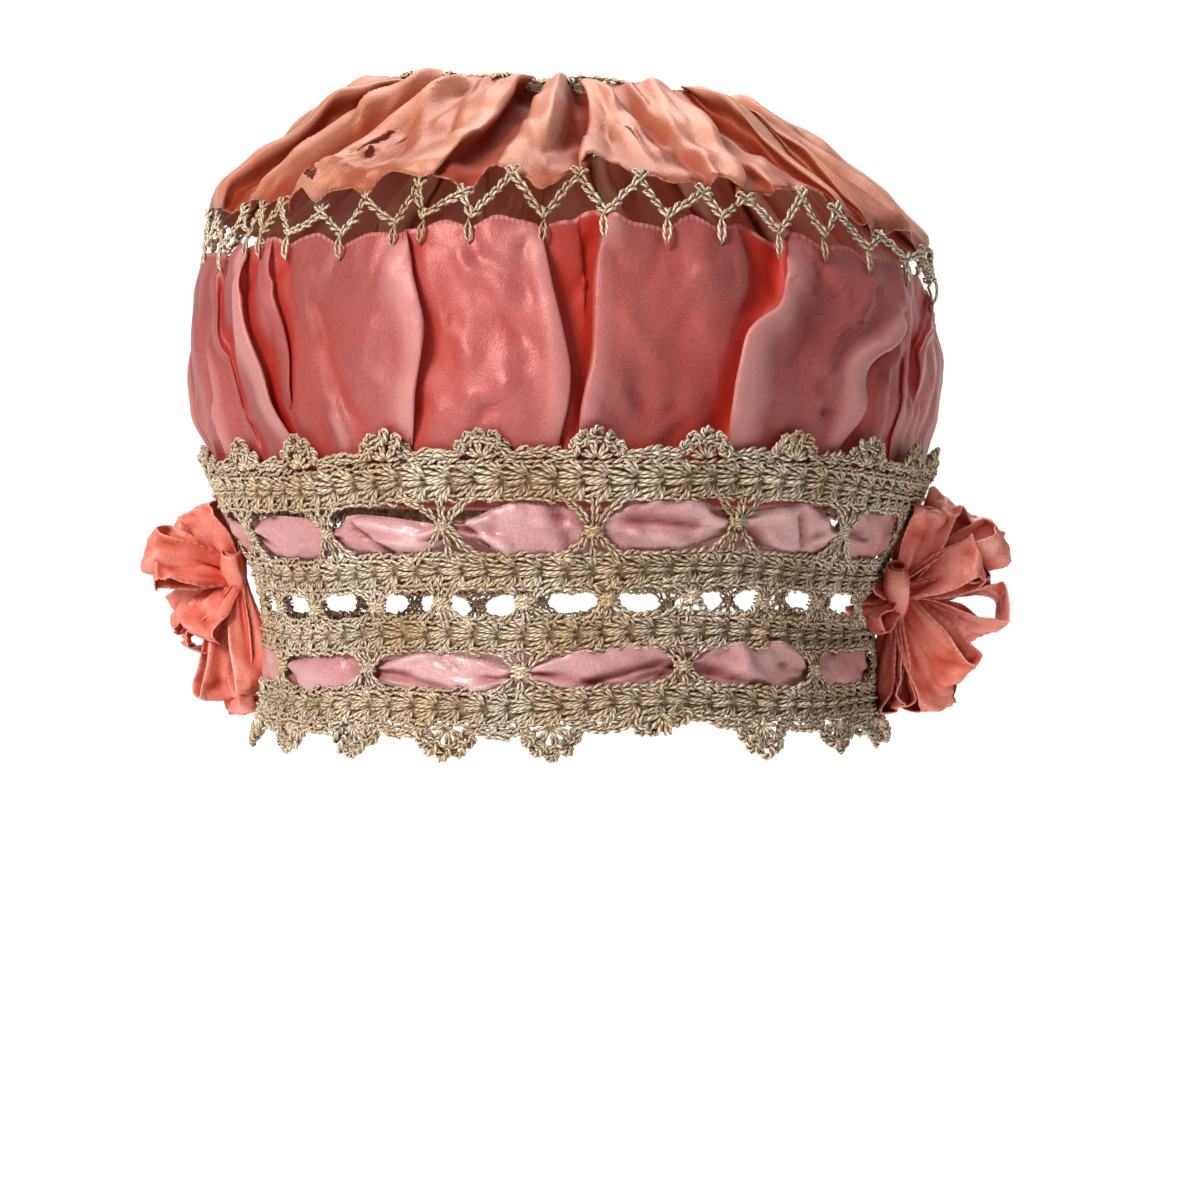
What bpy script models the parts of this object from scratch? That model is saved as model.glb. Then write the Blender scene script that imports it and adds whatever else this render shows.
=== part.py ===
"""Boudoir cap of satin ribbon and crochet, in the shape that it has on a head.

Metres, +Z up. The front faces -Y. The origin is the centre of the head opening,
in the plane of the lace band's lower edge. A turn is an angle about +Z in degrees,
0 at the front and growing towards +X, which is the right of somebody facing the cap.
"""

import math

import bmesh
import bpy
from mathutils import Matrix, Vector
from mathutils.geometry import delaunay_2d_cdt

MM = 0.001

# Walls and gaps
SATIN_WALL = 1.2 * MM
CROCHET_WALL = 2.2 * MM
RIBBON_WALL = 1.0 * MM
CHAIN_WIDTH = 2.2 * MM
CHAIN_CORNER = 1.4 * MM
SEAM_GAP = 0.35 * MM

# The crown leans to its right above the lace
LEAN_DEG = 3.0
LEAN_FROM_Z = 84 * MM
LEAN_FULL_Z = 134 * MM
CROWN_LEAN_DEG = 1.2
CROWN_SADDLE = 14 * MM
CROWN_FROM_Z = 146 * MM
CROWN_FULL_Z = 176 * MM

# Materials: colour, roughness
CORAL_SATIN = ("coral_satin", (0.80, 0.24, 0.20), 0.38)
PEACH_SATIN = ("peach_satin", (0.84, 0.36, 0.24), 0.38)
PINK_RIBBON = ("pink_ribbon", (0.80, 0.40, 0.36), 0.35)
CORAL_RIBBON = ("coral_ribbon", (0.86, 0.22, 0.15), 0.42)
ECRU_COTTON = ("ecru_cotton", (0.55, 0.42, 0.25), 0.85)

# Level curves of the outer side of each wall: height, half width (X), half depth (Y), in mm
LACE_LEVELS = [
    (-1, 91.5, 99.5),
    (9, 88.5, 97.0),
    (24, 87.0, 95.5),
    (40, 87.5, 96.0),
    (52, 91.5, 99.0),
    (66, 98.5, 104.0),
    (76, 102.5, 107.0),
    (84, 105.0, 109.0),
]
LOWER_SATIN_LEVELS = [
    (70.0, 97.4, 102.6),
    (77.0, 99.8, 104.0),
    (84.0, 101.2, 105.4),
    (92.0, 103.8, 107.2),
    (105.0, 104.8, 108.2),
    (120.0, 104.2, 107.6),
    (134.3, 101.6, 104.6),
]
UPPER_SATIN_LEVELS = [
    (145.6, 100.8, 103.6),
    (150.5, 94.8, 97.6),
    (157.0, 87.0, 89.8),
    (164.2, 77.3, 79.8),
    (171.0, 65.6, 67.5),
    (177.0, 53.5, 54.0),
]

# Soft folds: turn at the top edge, turn at the bottom edge, half width in degrees, rise in mm.
# Each fold is a ridge with a shallower valley on its + side, or on its - side where the rise is negative.
LOWER_FOLDS = [
    (-172, -176, 5, 3.4),
    (-150, -148, 6, 3.9),
    (-131, -135, 5, 3.1),
    (-112, -108, 6, 4.2),
    (-92, -88, 5, 3.4),
    (-72, -62, 5, 3.6),
    (-56, -43, 5, 4.4),
    (-38, -33, 6, 2.3),
    (-21, -21, 4.5, 4.4),
    (-4, -3, 4.5, 3.9),
    (7, 4, 4.5, -4.2),
    (28, 25, 5, -4.4),
    (42, 36, 5, 2.1),
    (58, 44, 5, 4.2),
    (70, 60, 5, 3.4),
    (90, 86, 6, 3.6),
    (108, 112, 5, 3.1),
    (127, 124, 6, 4.2),
    (146, 150, 5, 3.4),
    (165, 163, 5, 3.9),
]
UPPER_FOLDS = [
    (-168, -174, 7, 3.6),
    (-147, -150, 7, 4.4),
    (-126, -129, 7, 3.4),
    (-104, -110, 8, 4.2),
    (-84, -84, 7, 3.6),
    (-64, -62, 7, 4.4),
    (-44, -46, 7, 3.8),
    (-22, -30, 7, 4.2),
    (-4, -9, 6, 4.6),
    (10, 15, 6, -3.6),
    (30, 27, 7, 3.6),
    (46, 44, 7, -4.2),
    (66, 62, 7, 3.8),
    (86, 84, 7, 4.0),
    (106, 108, 8, 3.6),
    (128, 130, 7, 4.4),
    (150, 152, 7, 3.6),
    (170, 172, 7, 3.8),
]
VALLEY_SHARE = 0.75
VALLEY_OFFSET = 1.7

# Lace band: heights of its rows of openings and of its scalloped edges, in mm
BEADINGS = [
    # count, turn of the first knot, foot, top, knot half width, spread of the knot's strands
    {"count": 16, "first": 4.5, "foot": 52.2, "top": 65.4, "knot": 1.7, "spread": 4.4},
    {"count": 26, "first": -6.7, "foot": 36.4, "top": 43.8, "knot": 1.7, "spread": 3.6},
    {"count": 13, "first": -7.5, "foot": 18.8, "top": 28.4, "knot": 1.8, "spread": 4.8},
]
TOP_SCALLOPS = {"count": 24, "first": 4.1, "valley": 77.4, "peak": 83.4}
FOOT_SCALLOPS = {"count": 20, "first": -1.5, "valley": 6.6, "peak": 0.0}
CHART_RADIUS = 100.0

# Ribbons threaded behind the knots: middle height, width, in mm
UPPER_RIBBON = (58.8, 12.7)
LOWER_RIBBON = (23.6, 12.7)
RIBBON_RIPPLE = 0.9 * MM

# Chain zigzag between the two satin bands
ZIGZAGS = 38
SATIN_COLUMNS = 2 * ZIGZAGS
EDGE_ARCH = 3.2 * MM

# Crochet crown centre, in plan
CROWN_EDGE_R = 52.2
CROWN_CHAIN_R = 42.0
CROWN_EYELET_R = 25.0
CROWN_RING_R = 3.0
CROWN_ZIGZAGS = 19
CROWN_EYELETS = 12
CROWN_EDGE_Z = 178.4
CROWN_RISE = 3.0

# Rosettes of looped ribbon at the sides
ROSETTE_RIBBON = 12.7 * MM
ROSETTE_WALL = 1.0 * MM
ROSETTE_NECK = 0.42
KNOT_RADIUS = 7.5 * MM
KNOT_BACK = 4.0 * MM
KNOT_FRONT = 8.5 * MM
# Loops: clock angle (0 up, growing clockwise seen from outside), tilt away from the cap,
# length in mm, half opening in mm, roll of the ribbon about the loop's own line
RIGHT_LOOPS = [
    (18, 48, 38, 5.0, 10),
    (52, 58, 41, 5.5, -20),
    (92, 44, 36, 4.5, 35),
    (128, 60, 35, 5.0, 70),
    (160, 42, 37, 5.0, -15),
    (196, 30, 36, 4.2, 10),
    (232, 34, 30, 4.0, -25),
    (250, 44, 18, 3.6, 8),
    (300, 62, 20, 4.0, 40),
    (335, 34, 30, 4.2, -10),
]
LEFT_LOOPS = [
    (342, 34, 34, 4.6, 12),
    (312, 58, 33, 4.6, -24),
    (286, 64, 31, 4.2, 14),
    (250, 48, 33, 4.6, 62),
    (214, 42, 34, 4.6, -14),
    (186, 24, 34, 4.2, 8),
    (152, 34, 33, 4.2, -28),
    (106, 34, 24, 4.0, 24),
    (62, 34, 25, 4.0, -12),
    (24, 28, 29, 4.2, 14),
    (180, 82, 24, 3.8, 40),
]
ROSETTES = {
    "right_rosette": {"turn": 75.0, "z": 42 * MM, "stand_off": 4.7 * MM, "loops": RIGHT_LOOPS},
    "left_rosette": {"turn": -86.0, "z": 40 * MM, "stand_off": 4.5 * MM, "loops": LEFT_LOOPS},
}


def clear_scene():
    for old in list(bpy.data.objects):
        bpy.data.objects.remove(old)


def material(finish):
    name, colour, roughness = finish
    made = bpy.data.materials.get(name)
    if made is None:
        made = bpy.data.materials.new(name)
        made.use_nodes = True
        shader = made.node_tree.nodes["Principled BSDF"]
        shader.inputs["Base Color"].default_value = (*colour, 1.0)
        shader.inputs["Roughness"].default_value = roughness
    return made


def add_object(name, data, finish):
    made = bpy.data.objects.new(name, data)
    made.data.materials.append(material(finish))
    bpy.context.scene.collection.objects.link(made)
    return made


def smooth(mesh):
    mesh.shade_smooth()
    mesh.set_sharp_from_angle(angle=math.radians(45))


def thicken(made, wall):
    """Gives a surface whose faces point outwards a wall on its inner side."""
    solidify = made.modifiers.new("wall", "SOLIDIFY")
    solidify.thickness = wall
    solidify.offset = -1.0
    solidify.use_even_offset = True
    solidify.thickness_clamp = 1.0
    return made


def ease(value):
    value = min(1.0, max(0.0, value))
    return value * value * (3 - 2 * value)


def level_at(levels, z):
    """Half width and half depth, in metres, at height z, on a smooth curve through the table's rows."""
    heights = [row[0] * MM for row in levels]
    z = min(heights[-1], max(heights[0], z))
    i = max(k for k in range(len(heights) - 1) if heights[k] <= z)
    share = (z - heights[i]) / (heights[i + 1] - heights[i])
    before, after = max(i - 1, 0), min(i + 2, len(levels) - 1)
    found = []
    for column in (1, 2):
        p = [levels[k][column] * MM for k in (before, i, i + 1, after)]
        slope_in = (p[2] - p[0]) / 2
        slope_out = (p[3] - p[1]) / 2
        s2, s3 = share * share, share**3
        found.append(
            (2 * s3 - 3 * s2 + 1) * p[1]
            + (s3 - 2 * s2 + share) * slope_in
            + (3 * s2 - 2 * s3) * p[2]
            + (s3 - s2) * slope_out
        )
    return found


def ring_point(levels, turn, z, off=0.0):
    """The point at this turn and height, off metres outside the wall's outer side."""
    half_width, half_depth = level_at(levels, z)
    a = math.radians(turn)
    return Vector(((half_width + off) * math.sin(a), -(half_depth + off) * math.cos(a), z))


def lean(point):
    """The slump of everything above the lace to the right, and the saddle of the crown over the head."""
    share = ease((point.z - LEAN_FROM_Z) / (LEAN_FULL_Z - LEAN_FROM_Z))
    crown = ease((point.z - CROWN_FROM_Z) / (CROWN_FULL_Z - CROWN_FROM_Z))
    slope = math.tan(math.radians(LEAN_DEG)) * share + math.tan(math.radians(CROWN_LEAN_DEG)) * crown
    lift = CROWN_SADDLE * crown * (point.x / 0.1) ** 2
    return Vector((point.x, point.y, point.z - slope * point.x + lift))


def fold_rise(folds, turn, share):
    """Height of the folds, in metres, at a turn and a share of the way from bottom edge to top edge."""
    rise = 0.0
    for top, bottom, half_width, crest in folds:
        middle = bottom + (top - bottom) * share
        away = (turn - middle + 180) % 360 - 180
        away *= math.copysign(1.0, crest) / half_width
        ridge = math.exp(-away * away)
        valley = math.exp(-((away - VALLEY_OFFSET) ** 2))
        rise += abs(crest) * MM * (ridge - VALLEY_SHARE * valley)
    return rise


def ring_surface(name, columns, rows, place, finish):
    """A closed band of quads: place(turn, share) gives its points, share 0 at the foot and 1 at the top."""
    mesh = bpy.data.meshes.new(name)
    points = [
        place(360.0 * c / columns, r / rows) for r in range(rows + 1) for c in range(columns)
    ]
    faces = []
    for r in range(rows):
        for c in range(columns):
            beside = (c + 1) % columns
            foot, top = r * columns, (r + 1) * columns
            faces.append((foot + c, foot + beside, top + beside, top + c))
    mesh.from_pydata(points, [], faces)
    smooth(mesh)
    return add_object(name, mesh, finish)


def make_lower_satin():
    """Side band: a wide satin ribbon, gathered behind the lace and puffed out above it."""
    foot, top = LOWER_SATIN_LEVELS[0][0] * MM, LOWER_SATIN_LEVELS[-1][0] * MM

    def place(turn, share):
        z = foot + (top - foot) * share
        # Folds press flat behind the lace and open above it.
        strength = 0.12 + 0.88 * ease((share - 0.2) / 0.25) - 0.45 * ease((share - 0.75) / 0.25)
        rise = fold_rise(LOWER_FOLDS, turn, share) * strength
        lowered = min(rise, 0.0) if share < 0.24 else rise
        return lean(ring_point(LOWER_SATIN_LEVELS, turn, z, lowered))

    return thicken(ring_surface("lower_satin_band", SATIN_COLUMNS, 4, place, CORAL_SATIN), SATIN_WALL)


def make_upper_satin():
    """Crown band: the same ribbon drawn in to the crown centre, its foot arched between chain corners."""
    foot, top = UPPER_SATIN_LEVELS[0][0] * MM, UPPER_SATIN_LEVELS[-1][0] * MM

    def place(turn, share):
        arch = abs(math.sin(math.radians(turn * ZIGZAGS / 2))) * EDGE_ARCH * (1 - ease(share * 3))
        z = foot + (top - foot) * (1 - (1 - share) ** 1.35) + arch
        base = ring_point(UPPER_SATIN_LEVELS, turn, z)
        rise = fold_rise(UPPER_FOLDS, turn, share) * (0.25 + 0.75 * ease(share * 2.5))
        slope = Vector((base.x * 0.6, base.y * 0.6, 60 * MM + 60 * MM * share)).normalized()
        return lean(base + slope * rise)

    return thicken(ring_surface("upper_satin_band", SATIN_COLUMNS, 4, place, PEACH_SATIN), SATIN_WALL)


def make_zigzag():
    """Chain of crochet that laces the two satin bands together, up to one and down to the other."""
    low = LOWER_SATIN_LEVELS[-1][0] * MM + SEAM_GAP + CHAIN_CORNER
    high = UPPER_SATIN_LEVELS[0][0] * MM - SEAM_GAP - CHAIN_CORNER
    pitch = 360.0 / SATIN_COLUMNS
    points = []
    for k in range(SATIN_COLUMNS):
        z, levels = (high, UPPER_SATIN_LEVELS) if k % 2 == 0 else (low, LOWER_SATIN_LEVELS)
        points.append(lean(ring_point(levels, k * pitch, z, -SATIN_WALL / 2)))
    curve = bpy.data.curves.new("zigzag_chain", "CURVE")
    curve.dimensions = "3D"
    curve.bevel_depth = CHAIN_WIDTH / 2
    curve.bevel_resolution = 0
    line = curve.splines.new("POLY")
    line.points.add(len(points) - 1)
    for spot, point in zip(line.points, points):
        spot.co = (*point, 1.0)
    line.use_cyclic_u = True
    return add_object("zigzag_chain", curve, ECRU_COTTON)


def chart(turn, height_mm):
    """The lace band laid out flat as an annulus, so that it closes on itself."""
    a = math.radians(turn)
    return Vector(((CHART_RADIUS + height_mm) * math.sin(a), -(CHART_RADIUS + height_mm) * math.cos(a)))


def chart_to_band(spot):
    turn = math.degrees(math.atan2(spot.x, -spot.y))
    return ring_point(LACE_LEVELS, turn, (spot.length - CHART_RADIUS) * MM)


def pierced_sheet(name, outline, holes, place, finish):
    """A flat sheet with holes, cut in a chart and carried to its place in space, faces outwards."""
    spots, edges = [], []
    for loop in (outline, *holes):
        first = len(spots)
        spots.extend(loop)
        edges.extend((first + i, first + (i + 1) % len(loop)) for i in range(len(loop)))
    made = delaunay_2d_cdt(spots, edges, [list(range(len(outline)))], 1, 1e-6)
    flat, triangles = made[0], made[2]

    def inside(point, loop):
        odd = False
        for i, a in enumerate(loop):
            b = loop[i - 1]
            if (a.y > point.y) != (b.y > point.y):
                if point.x < (b.x - a.x) * (point.y - a.y) / (b.y - a.y) + a.x:
                    odd = not odd
        return odd

    kept = []
    for triangle in triangles:
        middle = sum((flat[i] for i in triangle), Vector((0, 0))) / 3
        if inside(middle, outline) and not any(inside(middle, loop) for loop in holes):
            kept.append(triangle)
    mesh = bpy.data.meshes.new(name)
    mesh.from_pydata([place(spot) for spot in flat], [], kept)
    work = bmesh.new()
    work.from_mesh(mesh)
    bmesh.ops.delete(work, geom=[v for v in work.verts if not v.link_faces], context="VERTS")
    bmesh.ops.recalc_face_normals(work, faces=work.faces)
    work.to_mesh(mesh)
    work.free()
    smooth(mesh)
    return add_object(name, mesh, finish)


def beading_holes(row):
    """One row of openings. Each lies between two knots, where three strands are drawn together."""
    pitch = 360.0 / row["count"]
    middle = (row["foot"] + row["top"]) / 2
    half = (row["top"] - row["foot"]) / 2
    reach = level_at(LACE_LEVELS, middle * MM)[0] / MM
    knot = math.degrees(row["knot"] / reach)
    spread = math.degrees(row["spread"] / reach)
    holes = []
    for k in range(row["count"]):
        left = row["first"] + k * pitch
        right = left + pitch
        side = [(left + knot, 0.0), (left + spread, 0.82)]
        over = [((left + right) / 2, 1.0)] if row["count"] < 20 else []
        back = [(left + right - turn, height) for turn, height in reversed(side)]
        top = side + over + back
        foot = [(turn, -height) for turn, height in reversed(top[1:-1])]
        holes.append([chart(turn, middle + height * half) for turn, height in top + foot])
    return holes


def scalloped_edge(row, outwards):
    """Edge of picot fans: a flat-topped tooth for each fan and a chain arch in each valley."""
    pitch = 360.0 / row["count"]
    rise = row["peak"] - row["valley"]
    shape = [(-0.5, 0.0), (-0.28, 0.1), (-0.2, 0.7), (0.0, 1.0), (0.2, 0.7), (0.28, 0.1)]
    spots = []
    for k in range(row["count"]):
        for across, up in shape:
            spots.append(chart(row["first"] + (k + across) * pitch, row["valley"] + rise * up))
    return spots if outwards else spots[::-1]


def edge_holes(row, foot, top, half_share):
    """The gap under each chain arch, between two picot fans."""
    pitch = 360.0 / row["count"]
    holes = []
    for k in range(row["count"]):
        turn = row["first"] + (k + 0.5) * pitch
        reach = half_share * pitch
        holes.append(
            [
                chart(turn - reach, (foot + top) / 2),
                chart(turn, foot),
                chart(turn + reach, (foot + top) / 2),
                chart(turn, top),
            ]
        )
    return holes


def make_lace():
    """Headband of crochet: four dense star-stitch rows, three rows of openings and two picot edges."""
    holes = [hole for row in BEADINGS for hole in beading_holes(row)]
    holes += edge_holes(TOP_SCALLOPS, 74.6, 76.4, 0.2)
    holes += edge_holes(FOOT_SCALLOPS, 7.9, 10.3, 0.24)
    holes.append(scalloped_edge(FOOT_SCALLOPS, False))
    outline = scalloped_edge(TOP_SCALLOPS, True)
    return thicken(pierced_sheet("lace_band", outline, holes, chart_to_band, ECRU_COTTON), CROCHET_WALL)


def make_threaded_ribbon(name, middle_mm, width_mm, row):
    """Satin ribbon threaded behind the knots of one row, and rippled between them."""
    foot = (middle_mm - width_mm / 2) * MM
    columns = row["count"] * 4

    def place(turn, share):
        inset = CROCHET_WALL + SEAM_GAP
        inset += RIBBON_RIPPLE * (0.5 + 0.5 * math.cos(math.radians(turn * row["count"])))
        return ring_point(LACE_LEVELS, turn + row["first"], foot + width_mm * MM * share, -inset)

    return thicken(ring_surface(name, columns, 1, place, PINK_RIBBON), RIBBON_WALL)


def make_crown_centre():
    """Crochet centre of the crown: a zigzag round about dense rounds, a round of eyelets and a starting ring."""

    def spot(turn, radius):
        a = math.radians(turn)
        return Vector((radius * math.sin(a), -radius * math.cos(a)))

    def place(flat):
        share = min(1.0, flat.length / CROWN_EDGE_R)
        z = CROWN_EDGE_Z + CROWN_RISE * (1 - share * share)
        stretch = 1 + 0.028 * (flat.y / max(flat.length, 1e-6)) ** 2
        return lean(Vector((flat.x * MM, flat.y * MM * stretch, z * MM)))

    pitch = 360.0 / CROWN_ZIGZAGS
    outline = []
    for k in range(CROWN_ZIGZAGS):
        outline.append(spot(k * pitch - 0.9, CROWN_EDGE_R))
        outline.append(spot(k * pitch + 0.9, CROWN_EDGE_R))
        outline.append(spot((k + 0.5) * pitch, CROWN_CHAIN_R + 1.6))
    holes = []
    for k in range(CROWN_ZIGZAGS):
        turn = k * pitch
        holes.append(
            [
                spot(turn - pitch * 0.27, CROWN_CHAIN_R + 1.4),
                spot(turn + pitch * 0.27, CROWN_CHAIN_R + 1.4),
                spot(turn, CROWN_EDGE_R - 3.2),
            ]
        )
    for k in range(CROWN_EYELETS):
        turn = (k + 0.5) * 360.0 / CROWN_EYELETS
        holes.append(
            [
                spot(turn, CROWN_EYELET_R - 2.5),
                spot(turn + 5, CROWN_EYELET_R),
                spot(turn, CROWN_EYELET_R + 2.5),
                spot(turn - 5, CROWN_EYELET_R),
            ]
        )
    holes.append([spot(turn, CROWN_RING_R) for turn in range(0, 360, 45)])
    made = pierced_sheet("crown_centre", outline, holes, place, ECRU_COTTON)
    return thicken(made, CROCHET_WALL)


def ribbon_loop(direction, side, length, half_open):
    """One loop of ribbon: a pinched stem from the knot, then an open teardrop of full width."""
    away = direction.cross(side)
    outer = [
        # share of the length, metres from the loop's own line, share of the full width
        (0.00, ROSETTE_WALL, ROSETTE_NECK),
        (0.27, ROSETTE_WALL, 0.66),
        (0.76, half_open, 1.00),
        (1.00, 0.0, 1.00),
    ]
    inner = [
        (0.34, 0.0, 0.72),
        (0.75, half_open - ROSETTE_WALL, 1.00),
        (1.00 - 1.4 * ROSETTE_WALL / length, 0.0, 1.00),
    ]
    around = outer + [(along, -off, width) for along, off, width in outer[-2::-1]]
    inside = inner + [(along, -off, width) for along, off, width in inner[-2:0:-1]]
    work = bmesh.new()

    def spots(line, edge):
        return [
            work.verts.new(
                direction * (length * along) + away * off + side * (edge * width * ROSETTE_RIBBON / 2)
            )
            for along, off, width in line
        ]

    outer_near, outer_far = spots(around, -1), spots(around, 1)
    inner_near, inner_far = spots(inside, -1), spots(inside, 1)
    for near, far in ((outer_near, outer_far), (inner_near, inner_far)):
        for i in range(len(near)):
            work.faces.new((near[i - 1], near[i], far[i], far[i - 1]))
    # Both sides of the ribbon's wall: o is its outer outline and h the open teardrop in it.
    for o, h in ((outer_near, inner_near), (outer_far, inner_far)):
        work.faces.new((o[0], o[1], o[5], o[6]))
        work.faces.new((o[1], h[0], o[5]))
        work.faces.new((o[1], o[2], h[1], h[0]))
        work.faces.new((o[2], o[3], h[2], h[1]))
        work.faces.new((o[3], o[4], h[3], h[2]))
        work.faces.new((o[4], o[5], h[0], h[3]))
    bmesh.ops.recalc_face_normals(work, faces=work.faces)
    mesh = bpy.data.meshes.new("loop")
    work.to_mesh(mesh)
    work.free()
    return mesh


def make_rosette(name, turn, z, stand_off, loops):
    """Bunch of ribbon loops caught in one knot, which is sewn to the lace."""
    seat = ring_point(LACE_LEVELS, turn, z)
    a = math.radians(turn)
    outwards = Vector((math.sin(a), -math.cos(a), 0.0))
    clockwise = Vector((0, 0, 1)).cross(outwards)
    centre = seat + outwards * stand_off
    work = bmesh.new()
    bmesh.ops.create_uvsphere(work, u_segments=8, v_segments=6, radius=1.0)
    frame = Matrix((clockwise, Vector((0, 0, 1)), outwards)).transposed()
    size = Matrix.Diagonal((KNOT_RADIUS, KNOT_RADIUS, (KNOT_BACK + KNOT_FRONT) / 2))
    shift = Matrix.Translation(outwards * (KNOT_FRONT - KNOT_BACK) / 2)
    bmesh.ops.transform(work, matrix=shift @ (frame @ size).to_4x4(), verts=work.verts)
    bmesh.ops.recalc_face_normals(work, faces=work.faces)
    mesh = bpy.data.meshes.new(name)
    work.to_mesh(mesh)
    work.free()
    rosette = add_object(name, mesh, CORAL_RIBBON)
    rosette.location = centre
    for i, (clock, tilt, length, half_open, roll) in enumerate(loops):
        c, t = math.radians(clock), math.radians(tilt)
        flat = Vector((0, 0, math.cos(c))) + clockwise * math.sin(c)
        direction = flat * math.cos(t) + outwards * math.sin(t)
        side = direction.cross(outwards if tilt < 80 else Vector((0, 0, 1))).normalized()
        side.rotate(Matrix.Rotation(math.radians(roll), 3, direction))
        strip = ribbon_loop(direction, side, length * MM, half_open * MM)
        loop = add_object(f"{name}_loop_{i}", strip, CORAL_RIBBON)
        loop.location = centre
        loop.hide_render = True
        loop.display_type = "WIRE"
        join = rosette.modifiers.new(f"loop_{i}", "BOOLEAN")
        join.operation = "UNION"
        join.object = loop
    return rosette


def main():
    clear_scene()
    make_lace()
    make_threaded_ribbon("upper_threaded_ribbon", *UPPER_RIBBON, BEADINGS[0])
    make_threaded_ribbon("lower_threaded_ribbon", *LOWER_RIBBON, BEADINGS[2])
    make_lower_satin()
    make_zigzag()
    make_upper_satin()
    make_crown_centre()
    for name, sizes in ROSETTES.items():
        make_rosette(name, **sizes)


main()
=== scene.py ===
"""Boudoir cap of satin ribbon and crochet: its looks, laid over the fixed model.

Metres, +Z up, front towards -Y. Sizes in the tables are millimetres. A turn is an angle about
+Z in degrees, 0 at the front and growing towards +X.
"""

import math
import random

import bmesh
import bpy
from mathutils import Matrix, Vector, noise


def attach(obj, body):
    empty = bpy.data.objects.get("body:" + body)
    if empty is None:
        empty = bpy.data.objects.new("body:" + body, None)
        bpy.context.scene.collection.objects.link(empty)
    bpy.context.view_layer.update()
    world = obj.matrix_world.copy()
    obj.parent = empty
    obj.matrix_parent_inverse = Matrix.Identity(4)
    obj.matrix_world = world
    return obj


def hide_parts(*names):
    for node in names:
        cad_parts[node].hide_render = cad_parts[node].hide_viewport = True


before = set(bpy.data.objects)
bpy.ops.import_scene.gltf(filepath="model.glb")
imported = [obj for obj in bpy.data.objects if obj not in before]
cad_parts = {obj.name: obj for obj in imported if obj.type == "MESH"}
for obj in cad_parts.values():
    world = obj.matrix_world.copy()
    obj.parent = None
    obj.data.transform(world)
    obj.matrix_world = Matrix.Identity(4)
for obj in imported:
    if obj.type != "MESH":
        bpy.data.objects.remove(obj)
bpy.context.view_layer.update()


# Lace band, star rows: four dense rows of star stitch carry the crochet headband. Each star is a fan
# of looped strands drawn together in one eye, and small chain stitches finish the row's two edges.
# Mercerised crochet cotton in two plies, about 1 mm thick where it is looped, gone ecru with age.
MM = 0.001
LACE_LEVELS = [
    # height, half width, half depth of the band's outer side
    (-1, 91.5, 99.5),
    (9, 88.5, 97.0),
    (24, 87.0, 95.5),
    (40, 87.5, 96.0),
    (52, 91.5, 99.0),
    (66, 98.5, 104.0),
    (76, 102.5, 107.0),
    (84, 105.0, 109.0),
]
STAR_ROWS = [
    # middle height, half height, stars round the head, turn of the first
    (69.9, 4.5, 94, 1.2),
    (48.0, 4.2, 86, 3.0),
    (32.4, 4.1, 83, 0.4),
    (14.6, 4.2, 84, 2.1),
]
STAR_HALF_HEIGHT = 4.4
STRAND_RADIUS = 0.52
LEAN_DEG = 3.0
LEAN_FROM_Z = 84.0
LEAN_FULL_Z = 134.0
CROWN_LEAN_DEG = 1.2
CROWN_SADDLE = 14.0
CROWN_FROM_Z = 146.0
CROWN_FULL_Z = 176.0


def ease(value):
    """A smooth step from 0 to 1."""
    value = min(1.0, max(0.0, value))
    return value * value * (3 - 2 * value)


def level_at(levels, z):
    """Half width and half depth at height z, on a smooth curve through the table's rows."""
    heights = [row[0] for row in levels]
    z = min(heights[-1], max(heights[0], z))
    i = max(k for k in range(len(heights) - 1) if heights[k] <= z)
    share = (z - heights[i]) / (heights[i + 1] - heights[i])
    before, after = max(i - 1, 0), min(i + 2, len(levels) - 1)
    s2, s3 = share * share, share**3
    found = []
    for column in (1, 2):
        p = [levels[k][column] for k in (before, i, i + 1, after)]
        start, end = (2 * s3 - 3 * s2 + 1) * p[1], (3 * s2 - 2 * s3) * p[2]
        bend = (s3 - 2 * s2 + share) * (p[2] - p[0]) / 2 + (s3 - s2) * (p[3] - p[1]) / 2
        found.append(start + end + bend)
    return found


def lean(x, y, z):
    """The slump of everything above the lace to its right, and the saddle of the crown over the head."""
    share = ease((z - LEAN_FROM_Z) / (LEAN_FULL_Z - LEAN_FROM_Z))
    crown = ease((z - CROWN_FROM_Z) / (CROWN_FULL_Z - CROWN_FROM_Z))
    slope = math.tan(math.radians(LEAN_DEG)) * share + math.tan(math.radians(CROWN_LEAN_DEG)) * crown
    return Vector((x, y, z - slope * x + CROWN_SADDLE * crown * (x / 100) ** 2)) * MM


def spot(levels, turn, z, out=0.0):
    """A point of the round surface that a table of levels gives, moved outwards by out."""
    half_width, half_depth = level_at(levels, z)
    a = math.radians(turn)
    return lean((half_width + out) * math.sin(a), -(half_depth + out) * math.cos(a), z)


def seat(place, turn, z, out=0.0):
    """A point of a surface, and there the directions along it, up it and inwards."""
    along = (place(turn + 0.5, z, out) - place(turn - 0.5, z, out)).normalized()
    rise = place(turn, z + 0.5, out) - place(turn, z - 0.5, out)
    inwards = rise.cross(along).normalized()
    return place(turn, z, out), along, along.cross(inwards), inwards


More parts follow.
